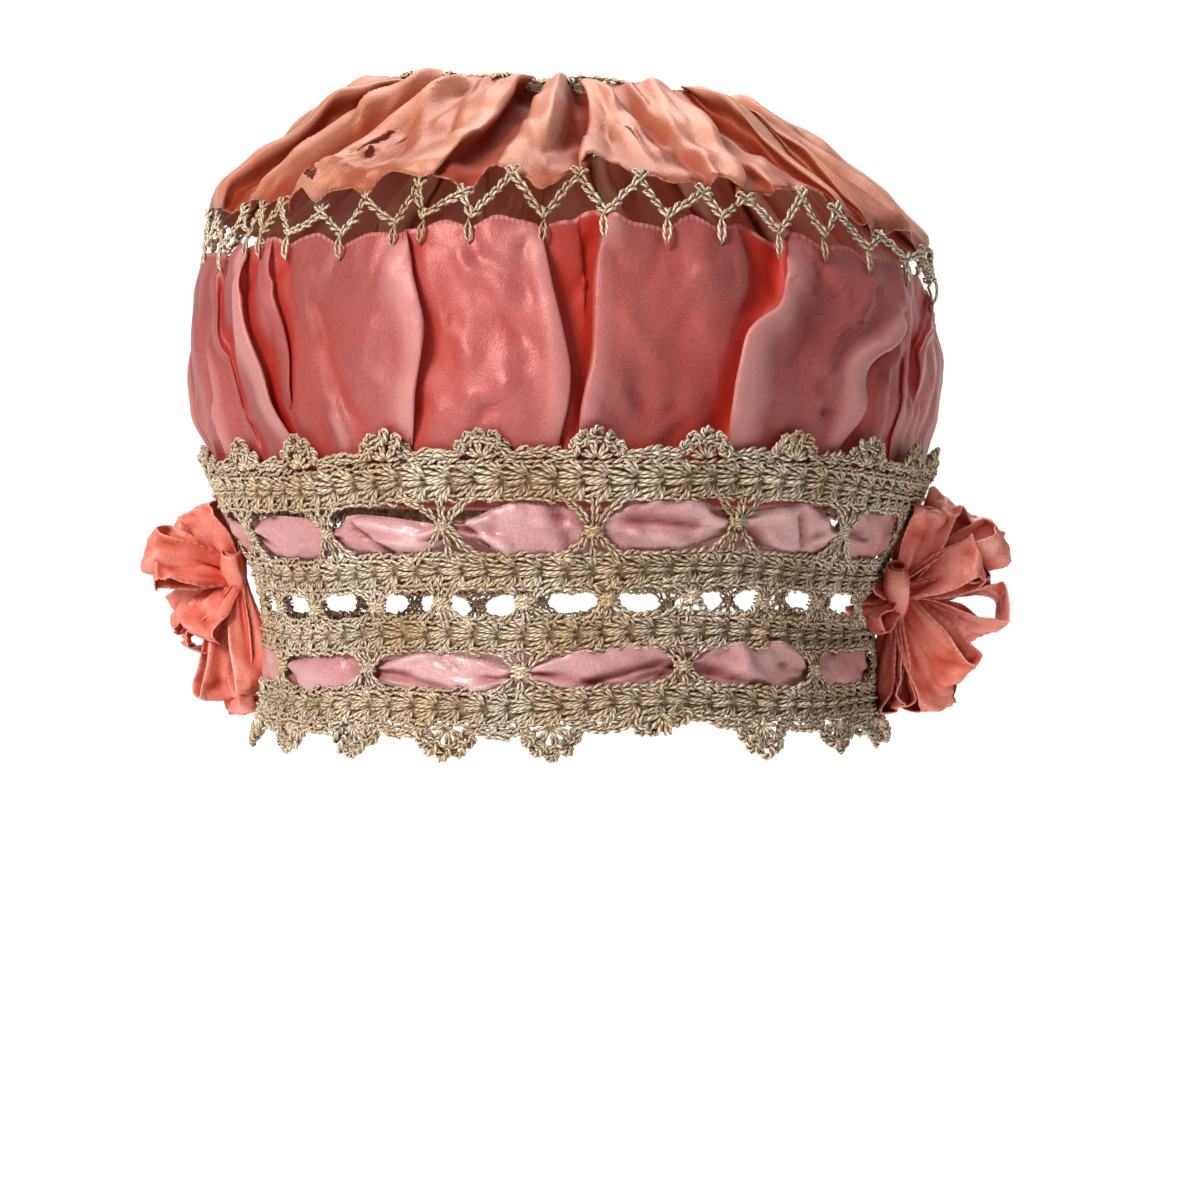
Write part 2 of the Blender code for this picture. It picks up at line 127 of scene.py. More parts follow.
def lace(turn, z, out=0.0):
    """The worn band: its rows wander a little, and a stretch of its foot has turned up."""
    wander = 0.8 * math.sin(math.radians(turn * 3 + 40)) + 0.5 * math.sin(math.radians(turn * 7 - z * 2))
    turned = 9.5 * math.exp(-(((turn + 180) % 360 - 180 - 19.0) / 7.5) ** 2) * (1 - ease(z / 13))
    ripple = 0.5 * math.sin(math.radians(turn * 9 + z * 5))
    wandered = z + wander * ease(z / 10) * ease((86 - z) / 16) + turned
    return spot(LACE_LEVELS, turn, wandered, out + ripple - 0.4)


def strands(name, paths, sides=5):
    """A mesh of closed tapered tubes. UV is the length along a strand and the way round it."""
    points, faces, uvs = [], [], []
    for path, radii, looped in paths:
        path = [Vector(p) for p in path]
        count, first, run = len(path), len(points), 0.0
        runs = []
        for i, middle in enumerate(path):
            ahead = path[(i + 1) % count] if looped or i < count - 1 else middle
            behind = path[i - 1] if looped or i > 0 else middle
            along = (ahead - behind).normalized()
            side = along.cross(Vector((0.15, 1.0, 0.1))).normalized()
            across = side.cross(along)
            for j in range(sides):
                a = 2 * math.pi * j / sides
                offset = side * math.cos(a) - across * math.sin(a)
                points.append((middle + offset * radii[i % len(radii)]) * MM)
            runs.append(run)
            run += (path[(i + 1) % count] - middle).length
        for i in range(count if looped else count - 1):
            here, there = first + i * sides, first + (i + 1) % count * sides
            start, end = runs[i], runs[i + 1] if i + 1 < count else run
            for j in range(sides):
                k = (j + 1) % sides
                faces.append((here + j, here + k, there + k, there + j))
                low, high = j / sides, (j + 1) / sides
                uvs.extend(((start, low), (start, high), (end, high), (end, low)))
        if not looped:
            for ring, turned in ((first, True), (first + (count - 1) * sides, False)):
                cap = [ring + j for j in range(sides)]
                faces.append(cap[::-1] if turned else cap)
                uvs.extend([(0.0, 0.0)] * sides)
    mesh = bpy.data.meshes.new(name)
    mesh.from_pydata(points, [], faces)
    layer = mesh.uv_layers.new(name="UVMap")
    layer.uv.foreach_set("vector", [c for uv in uvs for c in (uv[0] * MM, uv[1])])
    work = bmesh.new()
    work.from_mesh(mesh)
    bmesh.ops.recalc_face_normals(work, faces=work.faces)
    work.to_mesh(mesh)
    work.free()
    mesh.shade_smooth()
    return mesh


def star_strands(luck):
    """One star, eye at the right: strands slope in to it from above and from below."""
    paths = []
    for side in (1, -1):
        for degrees, length in ((6, 7.0), (20, 7.6), (35, 7.5), (51, 6.4), (68, 5.2)):
            a = math.radians(degrees + luck.uniform(-4, 4))
            reach = length * luck.uniform(0.92, 1.06)
            start = Vector((2.9 - reach * math.cos(a), luck.uniform(0.1, 0.5), side * reach * math.sin(a)))
            end = Vector((2.9 - 0.75 * math.cos(a), 0.7, side * (0.2 + 0.65 * math.sin(a))))
            forwards = luck.uniform(0.7, 1.0)
            outwards = side * (0.2 + 0.7 * math.sin(a)) * luck.uniform(0.8, 1.1)
            bulge = Vector((-0.2, -forwards, outwards))
            path = []
            for share in (0.0, 0.22, 0.55, 0.82, 1.0):
                path.append(start.lerp(end, share) + bulge * math.sin(math.pi * share**1.4))
            thick = STRAND_RADIUS * luck.uniform(0.9, 1.12)
            paths.append((path, (thick * 0.6, thick, thick * 1.08, thick * 0.95, thick * 0.55), False))
    drift = luck.uniform(-0.3, 0.3)
    middle = [(-3.6, 0.2, drift), (-2.0, -0.9, drift), (0.4, -1.2, 0.0), (2.4, -0.2, 0.0)]
    paths.append((middle, (0.3, 0.5, 0.5, 0.3), False))
    return paths


LINK_LIMB = [
    # across, depth, height and radius of one limb of a chain stitch, foot first
    (0.30, -0.12, -0.25, 0.36),
    (0.42, -0.42, 0.75, 0.45),
    (0.72, -0.38, 1.75, 0.47),
    (0.62, 0.42, 2.6, 0.36),
]


def link_strands(luck, width=1.0):
    """One chain stitch: two limbs part like a V, and close over behind the next one's foot."""
    path, radii = [], []
    for side, limb in ((1, LINK_LIMB), (-1, LINK_LIMB[::-1])):
        for across, depth, height, radius in limb:
            path.append((side * across * width, depth + luck.uniform(-0.06, 0.06), height))
            radii.append(radius)
    return [(path, radii, True)]


def stock(name, meshes):
    """A collection of stitch shapes for the trees to pick from. It isn't part of the scene."""
    made = bpy.data.collections.new(name)
    for i, mesh in enumerate(meshes):
        made.objects.link(bpy.data.objects.new(f"{name}_{i}", mesh))
    return made


def add(tree, kind, inputs=None, give=None, ramp=None, **settings):
    """Adds a node with its settings and links, and returns one of its outputs."""
    made = tree.nodes.new(kind)
    for name, value in settings.items():
        setattr(made, name, value)
    for name, value in (inputs or {}).items():
        if isinstance(name, int):
            socket = made.inputs[name]
        else:
            socket = next(s for s in made.inputs if s.name == name and s.enabled)
        if isinstance(value, bpy.types.NodeSocket):
            tree.links.new(value, socket)
        else:
            socket.default_value = value
    for i, (place, colour) in enumerate(ramp or []):
        stop = made.color_ramp.elements[i] if i < 2 else made.color_ramp.elements.new(place)
        stop.position = place
        stop.color = colour
    live = [s for s in made.outputs if s.enabled]
    return next((s for s in live if s.name == give), live[0] if live else None)


def stitch_tree(name, on_lines):
    """Sets stitches on a guide's points, or one after another along its lines."""
    tree = bpy.data.node_groups.new(name, "GeometryNodeTree")
    tree.is_modifier = True
    face = tree.interface
    face.new_socket(name="Guide", in_out="INPUT", socket_type="NodeSocketGeometry")
    face.new_socket(name="Stitches", in_out="INPUT", socket_type="NodeSocketCollection")
    face.new_socket(name="Finish", in_out="INPUT", socket_type="NodeSocketMaterial")
    for label, kind, value in (
        ("Pitch", "NodeSocketFloat", 0.0022),
        ("Size", "NodeSocketFloat", 1.0),
        ("Uneven", "NodeSocketFloat", 0.08),
        ("Wobble", "NodeSocketFloat", 0.14),
        ("Kinds", "NodeSocketInt", 3),
        ("Seed", "NodeSocketInt", 1),
    ):
        face.new_socket(name=label, in_out="INPUT", socket_type=kind).default_value = value
    face.new_socket(name="Stitched", in_out="OUTPUT", socket_type="NodeSocketGeometry")
    given = tree.nodes.new("NodeGroupInput").outputs
    points = given["Guide"]
    ahead = add(tree, "GeometryNodeInputNamedAttribute", {"Name": "ahead"}, data_type="FLOAT_VECTOR")
    size = add(tree, "GeometryNodeInputNamedAttribute", {"Name": "size"}, data_type="FLOAT")
    if on_lines:
        curve = add(tree, "GeometryNodeMeshToCurve", {"Mesh": points})
        spaced = {"Curve": curve, "Length": given["Pitch"]}
        points = add(tree, "GeometryNodeResampleCurve", spaced, mode="LENGTH")
        ahead = add(tree, "GeometryNodeInputTangent")
    # Each stitch looks along its line, with its back to the cap's inside, and is rolled a little.
    inwards = add(tree, "GeometryNodeInputNamedAttribute", {"Name": "inwards"}, data_type="FLOAT_VECTOR")
    raised = add(tree, "FunctionNodeAlignRotationToVector", {"Vector": ahead}, axis="Z")
    facing = {"Rotation": raised, "Vector": inwards}
    faced = add(tree, "FunctionNodeAlignRotationToVector", facing, axis="Y", pivot_axis="Z")
    least = add(tree, "ShaderNodeMath", {0: given["Wobble"], 1: -1.0}, operation="MULTIPLY")
    within = {"Min": least, "Max": given["Wobble"], "Seed": given["Seed"]}
    roll = add(tree, "FunctionNodeRandomValue", within, data_type="FLOAT_VECTOR")
    turning = {"Rotation": faced, "Rotate By": add(tree, "FunctionNodeEulerToRotation", {"Euler": roll})}
    rolled = add(tree, "FunctionNodeRotateRotation", turning, rotation_space="LOCAL")
    small = add(tree, "ShaderNodeMath", {0: 1.0, 1: given["Uneven"]}, operation="SUBTRACT")
    large = add(tree, "ShaderNodeMath", {0: 1.0, 1: given["Uneven"]}, operation="ADD")
    between = {"Min": small, "Max": large, "Seed": given["Seed"]}
    spread = add(tree, "FunctionNodeRandomValue", between, data_type="FLOAT")
    scale = add(tree, "ShaderNodeMath", {0: spread, 1: given["Size"]}, operation="MULTIPLY")
    scale = add(tree, "ShaderNodeMath", {0: scale, 1: size}, operation="MULTIPLY")
    last_kind = add(tree, "ShaderNodeMath", {0: given["Kinds"], 1: -1.0}, operation="ADD")
    choice = {"Min": 0, "Max": last_kind, "Seed": given["Seed"]}
    kind = add(tree, "FunctionNodeRandomValue", choice, data_type="INT")
    shapes = {"Collection": given["Stitches"], "Separate Children": True, "Reset Children": True}
    setting = {
        "Points": points,
        "Instance": add(tree, "GeometryNodeCollectionInfo", shapes),
        "Pick Instance": True,
        "Instance Index": kind,
        "Rotation": rolled,
        "Scale": scale,
    }
    set_out = add(tree, "GeometryNodeInstanceOnPoints", setting)
    # A tone for each stitch, that the cotton reads.
    any_tone = {"Min": 0.0, "Max": 1.0, "Seed": given["Seed"]}
    tone = add(tree, "FunctionNodeRandomValue", any_tone, data_type="FLOAT")
    storing = {"Geometry": set_out, "Name": "tone", "Value": tone}
    toned = add(tree, "GeometryNodeStoreNamedAttribute", storing, data_type="FLOAT", domain="INSTANCE")
    real = add(tree, "GeometryNodeRealizeInstances", {"Geometry": toned})
    finished = add(tree, "GeometryNodeSetMaterial", {"Geometry": real, "Material": given["Finish"]})
    tree.links.new(finished, tree.nodes.new("NodeGroupOutput").inputs["Stitched"])
    return tree


def guide(name, lines=(), spots=()):
    """A mesh of lines of (point, inwards), and of single spots of (point, ahead, inwards, size)."""
    points, edges, ahead, inwards, sizes = [], [], [], [], []
    for line in lines:
        edges.extend((len(points) + i, len(points) + i + 1) for i in range(len(line) - 1))
        for point, within in line:
            points.append(point)
            ahead.append((0, 0, 1))
            inwards.append(within)
            sizes.append(1.0)
    for point, forwards, within, size in spots:
        points.append(point)
        ahead.append(forwards)
        inwards.append(within)
        sizes.append(size)
    mesh = bpy.data.meshes.new(name)
    mesh.from_pydata(points, edges, [])
    for label, values in (("ahead", ahead), ("inwards", inwards)):
        store = mesh.attributes.new(label, "FLOAT_VECTOR", "POINT")
        store.data.foreach_set("vector", [c for value in values for c in value])
    mesh.attributes.new("size", "FLOAT", "POINT").data.foreach_set("value", sizes)
    return mesh


def stitched(name, tree, guide_mesh, inputs):
    """Runs a tree on a guide and gives the plain mesh that it makes."""
    bearer = bpy.data.objects.new(name, guide_mesh)
    bpy.context.scene.collection.objects.link(bearer)
    modifier = bearer.modifiers.new("stitches", "NODES")
    modifier.node_group = tree
    for item in tree.interface.items_tree:
        if item.in_out == "INPUT" and item.name in inputs:
            modifier[item.identifier] = inputs[item.name]
    shown = bearer.evaluated_get(bpy.context.evaluated_depsgraph_get())
    mesh = bpy.data.meshes.new_from_object(shown)
    bpy.data.objects.remove(bearer)
    return mesh


def piece(name, meshes):
    """One object of several plain meshes."""
    made = bpy.data.objects.new(name, meshes[0])
    bpy.context.scene.collection.objects.link(made)
    if len(meshes) > 1:
        others = []
        for mesh in meshes[1:]:
            other = bpy.data.objects.new(name, mesh)
            bpy.context.scene.collection.objects.link(other)
            others.append(other)
        with bpy.context.temp_override(active_object=made, selected_editable_objects=[made, *others]):
            bpy.ops.object.join()
    made.name = name
    return made


def linear(colour):
    """An sRGB hex value as the linear colour of a socket."""
    found = []
    for i in (1, 3, 5):
        value = int(colour[i : i + 2], 16) / 255
        found.append(value / 12.92 if value <= 0.04045 else ((value + 0.055) / 1.055) ** 2.4)
    return (*found, 1.0)


def ecru_cotton():
    """Mercerised crochet cotton, two plies: a soft lustre on the plies, painted shade in the twist between
    them and in the gaps between strands.
    """
    made = bpy.data.materials.new("mercerised_crochet_cotton")
    made.use_nodes = True
    tree = made.node_tree
    shader = tree.nodes["Principled BSDF"]
    place = add(tree, "ShaderNodeTexCoord", give="Object")
    along = add(tree, "ShaderNodeSeparateXYZ", {"Vector": add(tree, "ShaderNodeUVMap", uv_map="UVMap")}, "X")
    way_round = along.node.outputs["Y"]
    # One turn of a ply is about 1.5 mm long. Drawn at 1.9 mm, so that it shows.
    twist = add(tree, "ShaderNodeMath", {0: along, 1: 1 / 0.0019}, operation="MULTIPLY")
    twist = add(tree, "ShaderNodeMath", {0: way_round, 1: 2.0, 2: twist}, operation="MULTIPLY_ADD")
    twist = add(tree, "ShaderNodeMath", {0: twist, 1: 2 * math.pi}, operation="MULTIPLY")
    twist = add(tree, "ShaderNodeMath", {0: twist}, operation="SINE")
    ply = add(tree, "ShaderNodeMapRange", {"Value": twist, "From Min": -1.0, "From Max": 0.4})
    aged = add(tree, "ShaderNodeTexNoise", {"Vector": place, "Scale": 45.0, "Detail": 3.0}, "Fac")
    ecru = [(0.33, linear("#E2C69E")), (0.66, linear("#FFF6E2"))]
    aged = add(tree, "ShaderNodeValToRGB", {"Fac": aged}, ramp=ecru)
    tone = add(tree, "ShaderNodeAttribute", attribute_name="tone", give="Fac")
    toned = add(tree, "ShaderNodeMapRange", {"Value": tone, "To Min": 0.84, "To Max": 1.1})
    over = {"Factor": 1.0, "A": aged, "B": toned}
    colour = add(tree, "ShaderNodeMix", over, data_type="RGBA", blend_type="MULTIPLY")
    # Painted shade: the colour darkens along the twist between the two plies.
    plies = {"Factor": ply, "A": linear("#B0926A"), "B": linear("#FFFFFF")}
    ply_groove_shade = add(tree, "ShaderNodeMix", plies, data_type="RGBA")
    over = {"Factor": 1.0, "A": colour, "B": ply_groove_shade}
    colour = add(tree, "ShaderNodeMix", over, data_type="RGBA", blend_type="MULTIPLY")
    # Painted shade: where the occlusion node finds strands close by, the colour is darkened towards dark
    # brown, standing in for the shade between the strands.
    open_air = add(tree, "ShaderNodeAmbientOcclusion", {"Distance": 0.0026}, "AO", samples=4)
    gap_shade_share = add(tree, "ShaderNodeMapRange", {"Value": open_air, "From Min": 0.2, "From Max": 0.8})
    gap_shading = {"Factor": gap_shade_share, "A": linear("#48301A"), "B": colour}
    painted_gap_shade = add(tree, "ShaderNodeMix", gap_shading, data_type="RGBA")
    bump = add(tree, "ShaderNodeBump", {"Height": twist, "Strength": 0.7, "Distance": 0.00012})
    tree.links.new(painted_gap_shade, shader.inputs["Base Color"])
    tree.links.new(bump, shader.inputs["Normal"])
    shader.inputs["Roughness"].default_value = 0.6
    shader.inputs["Sheen Weight"].default_value = 0.15
    shader.inputs["Sheen Roughness"].default_value = 0.4
    return made


cotton = ecru_cotton()
on_points = stitch_tree("stitches_on_points", False)
on_lines = stitch_tree("stitches_on_lines", True)
luck = random.Random(11)
stars = stock("star", [strands(f"star_{i}", star_strands(luck), 4) for i in range(5)])
links = stock("link", [strands(f"link_{i}", link_strands(luck), 4) for i in range(3)])
edge_links = stock("edge_link", [strands(f"edge_link_{i}", link_strands(luck, 1.15), 4) for i in range(3)])


def lace_line(path, place=lace):
    """A line on the band through rows of (turn, height, standing out)."""
    made = []
    for turn, z, out in path:
        point, _, _, within = seat(place, turn, z, out)
        made.append((point, within))
    return made


def star_row_meshes(rows, seed):
    """The stars of some rows, and the chain stitches along the rows' two edges."""
    spots, edges = [], []
    for middle, half, count, first in rows:
        for k in range(count):
            turn = first + k * 360 / count
            point, _, up, within = seat(lace, turn, middle, -0.9)
            spots.append((point, up, within, half / STAR_HALF_HEIGHT))
        for side in (-1, 1):
            z = middle + side * (half - 0.5)
            edges.append(lace_line([(t * 1.5, z, -0.9) for t in range(241)]))
    fans = {"Stitches": stars, "Finish": cotton, "Kinds": 5, "Seed": seed, "Wobble": 0.11}
    chain = {"Stitches": edge_links, "Finish": cotton, "Pitch": 0.0024, "Seed": seed, "Wobble": 0.3}
    return [
        stitched("stars", on_points, guide("star_guide", spots=spots), fans),
        stitched("edges", on_lines, guide("edge_guide", lines=edges), chain),
    ]


upper_stars = piece("lace_star_rows_upper", star_row_meshes(STAR_ROWS[:2], 3))
lower_stars = piece("lace_star_rows_lower", star_row_meshes(STAR_ROWS[2:], 4))


# Backs of the star rows: the same stitches seen from inside the cap, where the strands lie close and
# flat. They are one low relief of ribs, and they close the rows behind their eyes.
BACK_RELIEF = [
    # height as a share of the row's half, standing out
    (1, -1.3),
    (0.5, -1.9),
    (0, -1.6),
    (-0.5, -1.9),
    (-1, -1.3),
    (-0.5, -1.2),
    (0.5, -1.2),
]


def back_of_rows():
    """A closed ring behind each star row, ribbed on its inner side."""
    made = bmesh.new()
    for middle, half, count, _ in STAR_ROWS:
        columns = count * 4
        rings = []
        for height, out in BACK_RELIEF:
            ring = []
            for c in range(columns):
                turn = 360 * c / columns
                ribbed = out + (0.35 * math.sin(c * math.pi / 2 + height * 3) if out < -1.25 else 0.0)
                ring.append(made.verts.new(lace(turn, middle + height * (half - 0.9), ribbed)))
            rings.append(ring)
        for i, ring in enumerate(rings):
            below = rings[(i + 1) % len(rings)]
            for c in range(columns):
                d = (c + 1) % columns
                made.faces.new((ring[c], ring[d], below[d], below[c]))
    bmesh.ops.recalc_face_normals(made, faces=made.faces)
    mesh = bpy.data.meshes.new("lace_row_backs")
    made.to_mesh(mesh)
    made.free()
    mesh.shade_smooth()
    mesh.materials.append(cotton_back())
    return piece("lace_row_backs", [mesh])


def cotton_back():
    """The same cotton where stitches lie side by side: knobs about 1.6 mm apart, dull, with painted shade
    between them.
    """
    made = bpy.data.materials.new("crochet_cotton_back")
    made.use_nodes = True
    tree = made.node_tree
    shader = tree.nodes["Principled BSDF"]
    place = add(tree, "ShaderNodeTexCoord", give="Object")
    cells = {"Vector": place, "Scale": 620.0, "Randomness": 0.8}
    knobs = add(tree, "ShaderNodeTexVoronoi", cells, "Distance", feature="SMOOTH_F1")
    # Painted shade: the ramp goes from a darker ecru on each knob to dark brown between knobs, and the backs
    # seen between the stars read as shade.
    ecru = [(0.15, linear("#A98C60")), (0.75, linear("#4F3A20"))]
    colour = add(tree, "ShaderNodeValToRGB", {"Fac": knobs}, ramp=ecru)
    bump = add(tree, "ShaderNodeBump", {"Height": knobs, "Strength": 0.9, "Distance": 0.0005}, invert=True)
    tree.links.new(colour, shader.inputs["Base Color"])
    tree.links.new(bump, shader.inputs["Normal"])
    shader.inputs["Roughness"].default_value = 0.85
    return made


row_backs = back_of_rows()


# Lace band, rows of openings: between two star rows chains run in threes to a knot, where a few wraps
# of cotton hold them, and spread again below it.
BEADINGS = [
    # knots round the head, turn of the first, foot, top, reach of the outer chains
    (16, 4.5, 51.6, 66.0, 8.2),
    (26, -6.7, 36.0, 44.4, 6.6),
    (13, -7.5, 18.4, 28.8, 8.0),
]


# A wrap's way round the knot: across, as a share of its reach, and depth.
KNOT_WRAP = [(-0.85, 1.1), (-1.0, 0.1), (-0.5, -0.85), (0.5, -0.9), (1.0, 0.1), (0.85, 1.1)]


def knot_strands(luck):
    """The wraps round a knot, side by side, over the front of three chains."""
    paths = []
    for height in (-0.85, 0.0, 0.85):
        tilt = luck.uniform(-0.25, 0.25)
        reach = luck.uniform(1.9, 2.4)
        path = []
        for across, depth in KNOT_WRAP:
            path.append((across * reach, depth, height + tilt * across))
        paths.append((path, (0.3, 0.45, 0.48, 0.48, 0.45, 0.3), False))
    for side in (-1, 1):
        crossing = [(side * 0.9, -0.4, -1.9), (side * 0.2, -1.0, 0.0), (side * -0.8, -0.5, 1.8)]
        paths.append((crossing, (0.35, 0.42, 0.35), False))
    return paths


def knotted_chains():
    """Six chains to each knot, three from above and three from below, and the knots' wraps."""
    luck = random.Random(23)
    knots = stock("knot", [strands(f"knot_{i}", knot_strands(luck)) for i in range(3)])
    lines, spots = [], []
    for count, first, foot, top, reach in BEADINGS:
        middle = (foot + top) / 2
        radius = level_at(LACE_LEVELS, middle)[1]
        degree = 180 / (math.pi * radius)
        for k in range(count):
            turn = first + k * 360 / count + luck.uniform(-0.5, 0.5)
            z = middle + luck.uniform(-0.8, 0.8)
            point, _, up, within = seat(lace, turn, z, -0.8)
            spots.append((point, up, within, luck.uniform(0.9, 1.1)))
            for end_z in (top, foot):
                for side in (-1, 0, 1):
                    far = side * reach * luck.uniform(0.8, 1.15) + luck.uniform(-0.6, 0.6)
                    near = side * 0.9
                    bow = side * luck.uniform(0.2, 1.3)
                    path = []
                    for i in range(9):
                        share = i / 8
                        across = near + (far - near) * share**1.15 - bow * math.sin(math.pi * share)
                        rise = z + (end_z - z) * share
                        out = -0.9 + 0.3 * math.sin(math.pi * share)
                        path.append((turn + across * degree, rise, out))
                    lines.append(lace_line(path))
    chain = {"Stitches": links, "Finish": cotton, "Pitch": 0.0021, "Seed": 5, "Wobble": 0.22}
    wraps = {"Stitches": knots, "Finish": cotton, "Kinds": 3, "Seed": 6, "Wobble": 0.15}
    return [
        stitched("chains", on_lines, guide("chain_guide", lines=lines), chain),
        stitched("knots", on_points, guide("knot_guide", spots=spots), wraps),
    ]


openings = piece("lace_knotted_chains", knotted_chains())


# Lace band, its two edges: fans of long strands from one hub, each under five picot rings, and chain
# arches from fan to fan.
EDGES = [
    # fans round the head, turn of the first, height of the hub, of the arches, which way, size
    (24, 4.1, 75.2, 76.3, 1, 1.04),
    (20, -1.5, 9.8, 8.7, -1, 1.16),
]


def fan_strands(luck):
    """One fan: seven long strands from a hub."""
    paths = []
    for k in range(7):
        a = math.radians(-75 + 25 * k + luck.uniform(-5, 5))
        length = luck.uniform(3.9, 4.6)
        path = []
        for share in (0.12, 0.4, 0.75, 1.0):
            depth = 0.3 - 0.9 * math.sin(math.pi * share)
            path.append((math.sin(a) * length * share, depth, math.cos(a) * length * share))
        paths.append((path, (0.28, 0.46, 0.52, 0.34), False))
    return paths


def picot_strands(luck):
    """One picot: a ring of two strands wound round each other."""
    paths = []
    reach, winds = luck.uniform(1.25, 1.55), luck.choice((3, 4))
    for phase in (0, math.pi):
        path = []
        for i in range(16):
            a = 2 * math.pi * i / 16
            out = reach + 0.42 * math.cos(winds * a + phase)
            path.append((out * math.sin(a), 0.42 * math.sin(winds * a + phase), out * math.cos(a) * 1.12))
        paths.append((path, (0.46,), True))
    return paths


# Picot rings of a fan: across and up from its hub.
PICOTS = [(-5.3, 2.6), (-3.2, 4.6), (0.1, 5.7), (3.3, 4.5), (5.3, 2.4)]


def picot_edges():
    """Along each edge: fans, their picot rings, and the chains over, between and beside them."""
    luck = random.Random(31)
    fans = stock("fan", [strands(f"fan_{i}", fan_strands(luck)) for i in range(4)])
    picots = stock("picot", [strands(f"picot_{i}", picot_strands(luck), 4) for i in range(4)])
    lines, tips, spots = [], [], []
    for count, first, hub, arch, way, size in EDGES:
        degree = 180 / (math.pi * level_at(LACE_LEVELS, hub)[1])
        pitch = 360 / count
        for k in range(count):
            turn = first + k * pitch + luck.uniform(-0.8, 0.8)
            point, _, up, within = seat(lace, turn, hub, -0.7)
            spots.append((point, up * way, within, size * luck.uniform(0.92, 1.05)))
            # The rings stand on the strands' tips.
            for across, height in PICOTS:
                tip = (turn + across * size * degree, hub + way * height * size)
                point, along, up, within = seat(lace, *tip, -0.7 + luck.uniform(-0.4, 0.4))
                tips.append((point, up, (within + along * luck.uniform(-0.5, 0.5)).normalized(), size))
            # A chain goes over the strands' tips, down the fan's side and on to the next fan.
            path = []
            for i in range(33):
                share = -0.5 + i / 32
                across = share * pitch / degree
                over = max(0.0, 1 - (across / (6.0 * size)) ** 2) ** 0.5
                wave = 0.7 * math.cos(2 * math.pi * share) * (1 - ease(over * 2))
                height = arch + way * (over * 3.6 * size - wave)
                path.append((turn + share * pitch, height, -0.8))
            lines.append(lace_line(path))
            # Short chains close the foot of each arch against the star row.
            for side in (-1, 1):
                foot = turn + side * 6.4 * degree
                path = [(foot + side * i * 0.9, hub + way * (0.2 + 0.2 * i), -0.9) for i in range(5)]
                lines.append(lace_line(path))
    chain = {"Stitches": links, "Finish": cotton, "Pitch": 0.0021, "Seed": 8, "Wobble": 0.3, "Uneven": 0.12}
    rings = {"Stitches": picots, "Finish": cotton, "Kinds": 4, "Seed": 10, "Wobble": 0.5}
    hubs = {"Stitches": fans, "Finish": cotton, "Kinds": 4, "Seed": 9, "Wobble": 0.12}
    return [
        stitched("picots", on_points, guide("picot_guide", spots=tips), rings),
        stitched("edge_chains", on_lines, guide("edge_chain_guide", lines=lines), chain),
        stitched("fans", on_points, guide("fan_guide", spots=spots), hubs),
    ]


picots = piece("lace_picot_edges", picot_edges())

for made in (upper_stars, lower_stars, row_backs, openings, picots):
    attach(made, "root")
    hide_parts("lace_band")


# Lower satin band: a coral pink satin ribbon 63.5 mm wide, drawn in behind the lace and pressed into
# soft pleats. Its upper selvage is stitched to the chain, which pulls it down at each hole.
LOWER_FOOT_Z = 70.0
LOWER_TOP_Z = 134.3
LOWER_RISE = 64.3
SATIN_WALL = 0.5
UV_RADIUS = 0.104
LOWER_LEVELS = [
    # height, half width, half depth
    (70.0, 97.4, 102.6),
    (77.0, 99.8, 104.0),
    (84.0, 101.2, 105.4),
    (92.0, 103.8, 107.2),
    (105.0, 104.8, 108.2),
    (120.0, 104.2, 107.6),
    (134.3, 101.6, 104.6),
]
LOWER_HEM = [
    # turn, height of the selvage above its plain height
    (-180, 0.0), (-150, -0.8), (-120, 0.4), (-90, -1.0), (-75, -4.0), (-66, -5.0), (-61.5, -6.8), (-57, -4.6),
    (-53, -5.6), (-49.5, -5.2), (-46, -4.4), (-43, -6.4), (-37.5, -4.4), (-32.5, -7.4), (-28, -5.0),
    (-24, -5.0), (-20, -3.8), (-16.5, -2.0), (-13, -3.4), (-9, -0.6), (-6, -1.6), (-3, -3.0), (0.5, -1.0),
    (4.0, 1.8), (5.5, -0.9), (7.0, 1.4), (9.0, -0.6), (14, -1.0), (17.4, 2.7), (22, 0.4), (25, 2.0),
    (31, -1.4), (35, 1.6), (39.5, -0.4), (44.5, 0.6), (50, -1.4), (56, 0.4), (62, -1.2), (75, -0.4),
    (80.5, -1.4), (100, 0.6), (125, -0.6), (150, 0.8), (180, 0.0),
]
LOWER_ATTACHED = [
    # turns of the holes where the chain is stitched to the selvage
    -61.5, -53, -49.5, -43, -32.5, -24, -20, -13, -3, 5.5, 14, 22, 31, 39.5, 49, 61, 80.5,
]
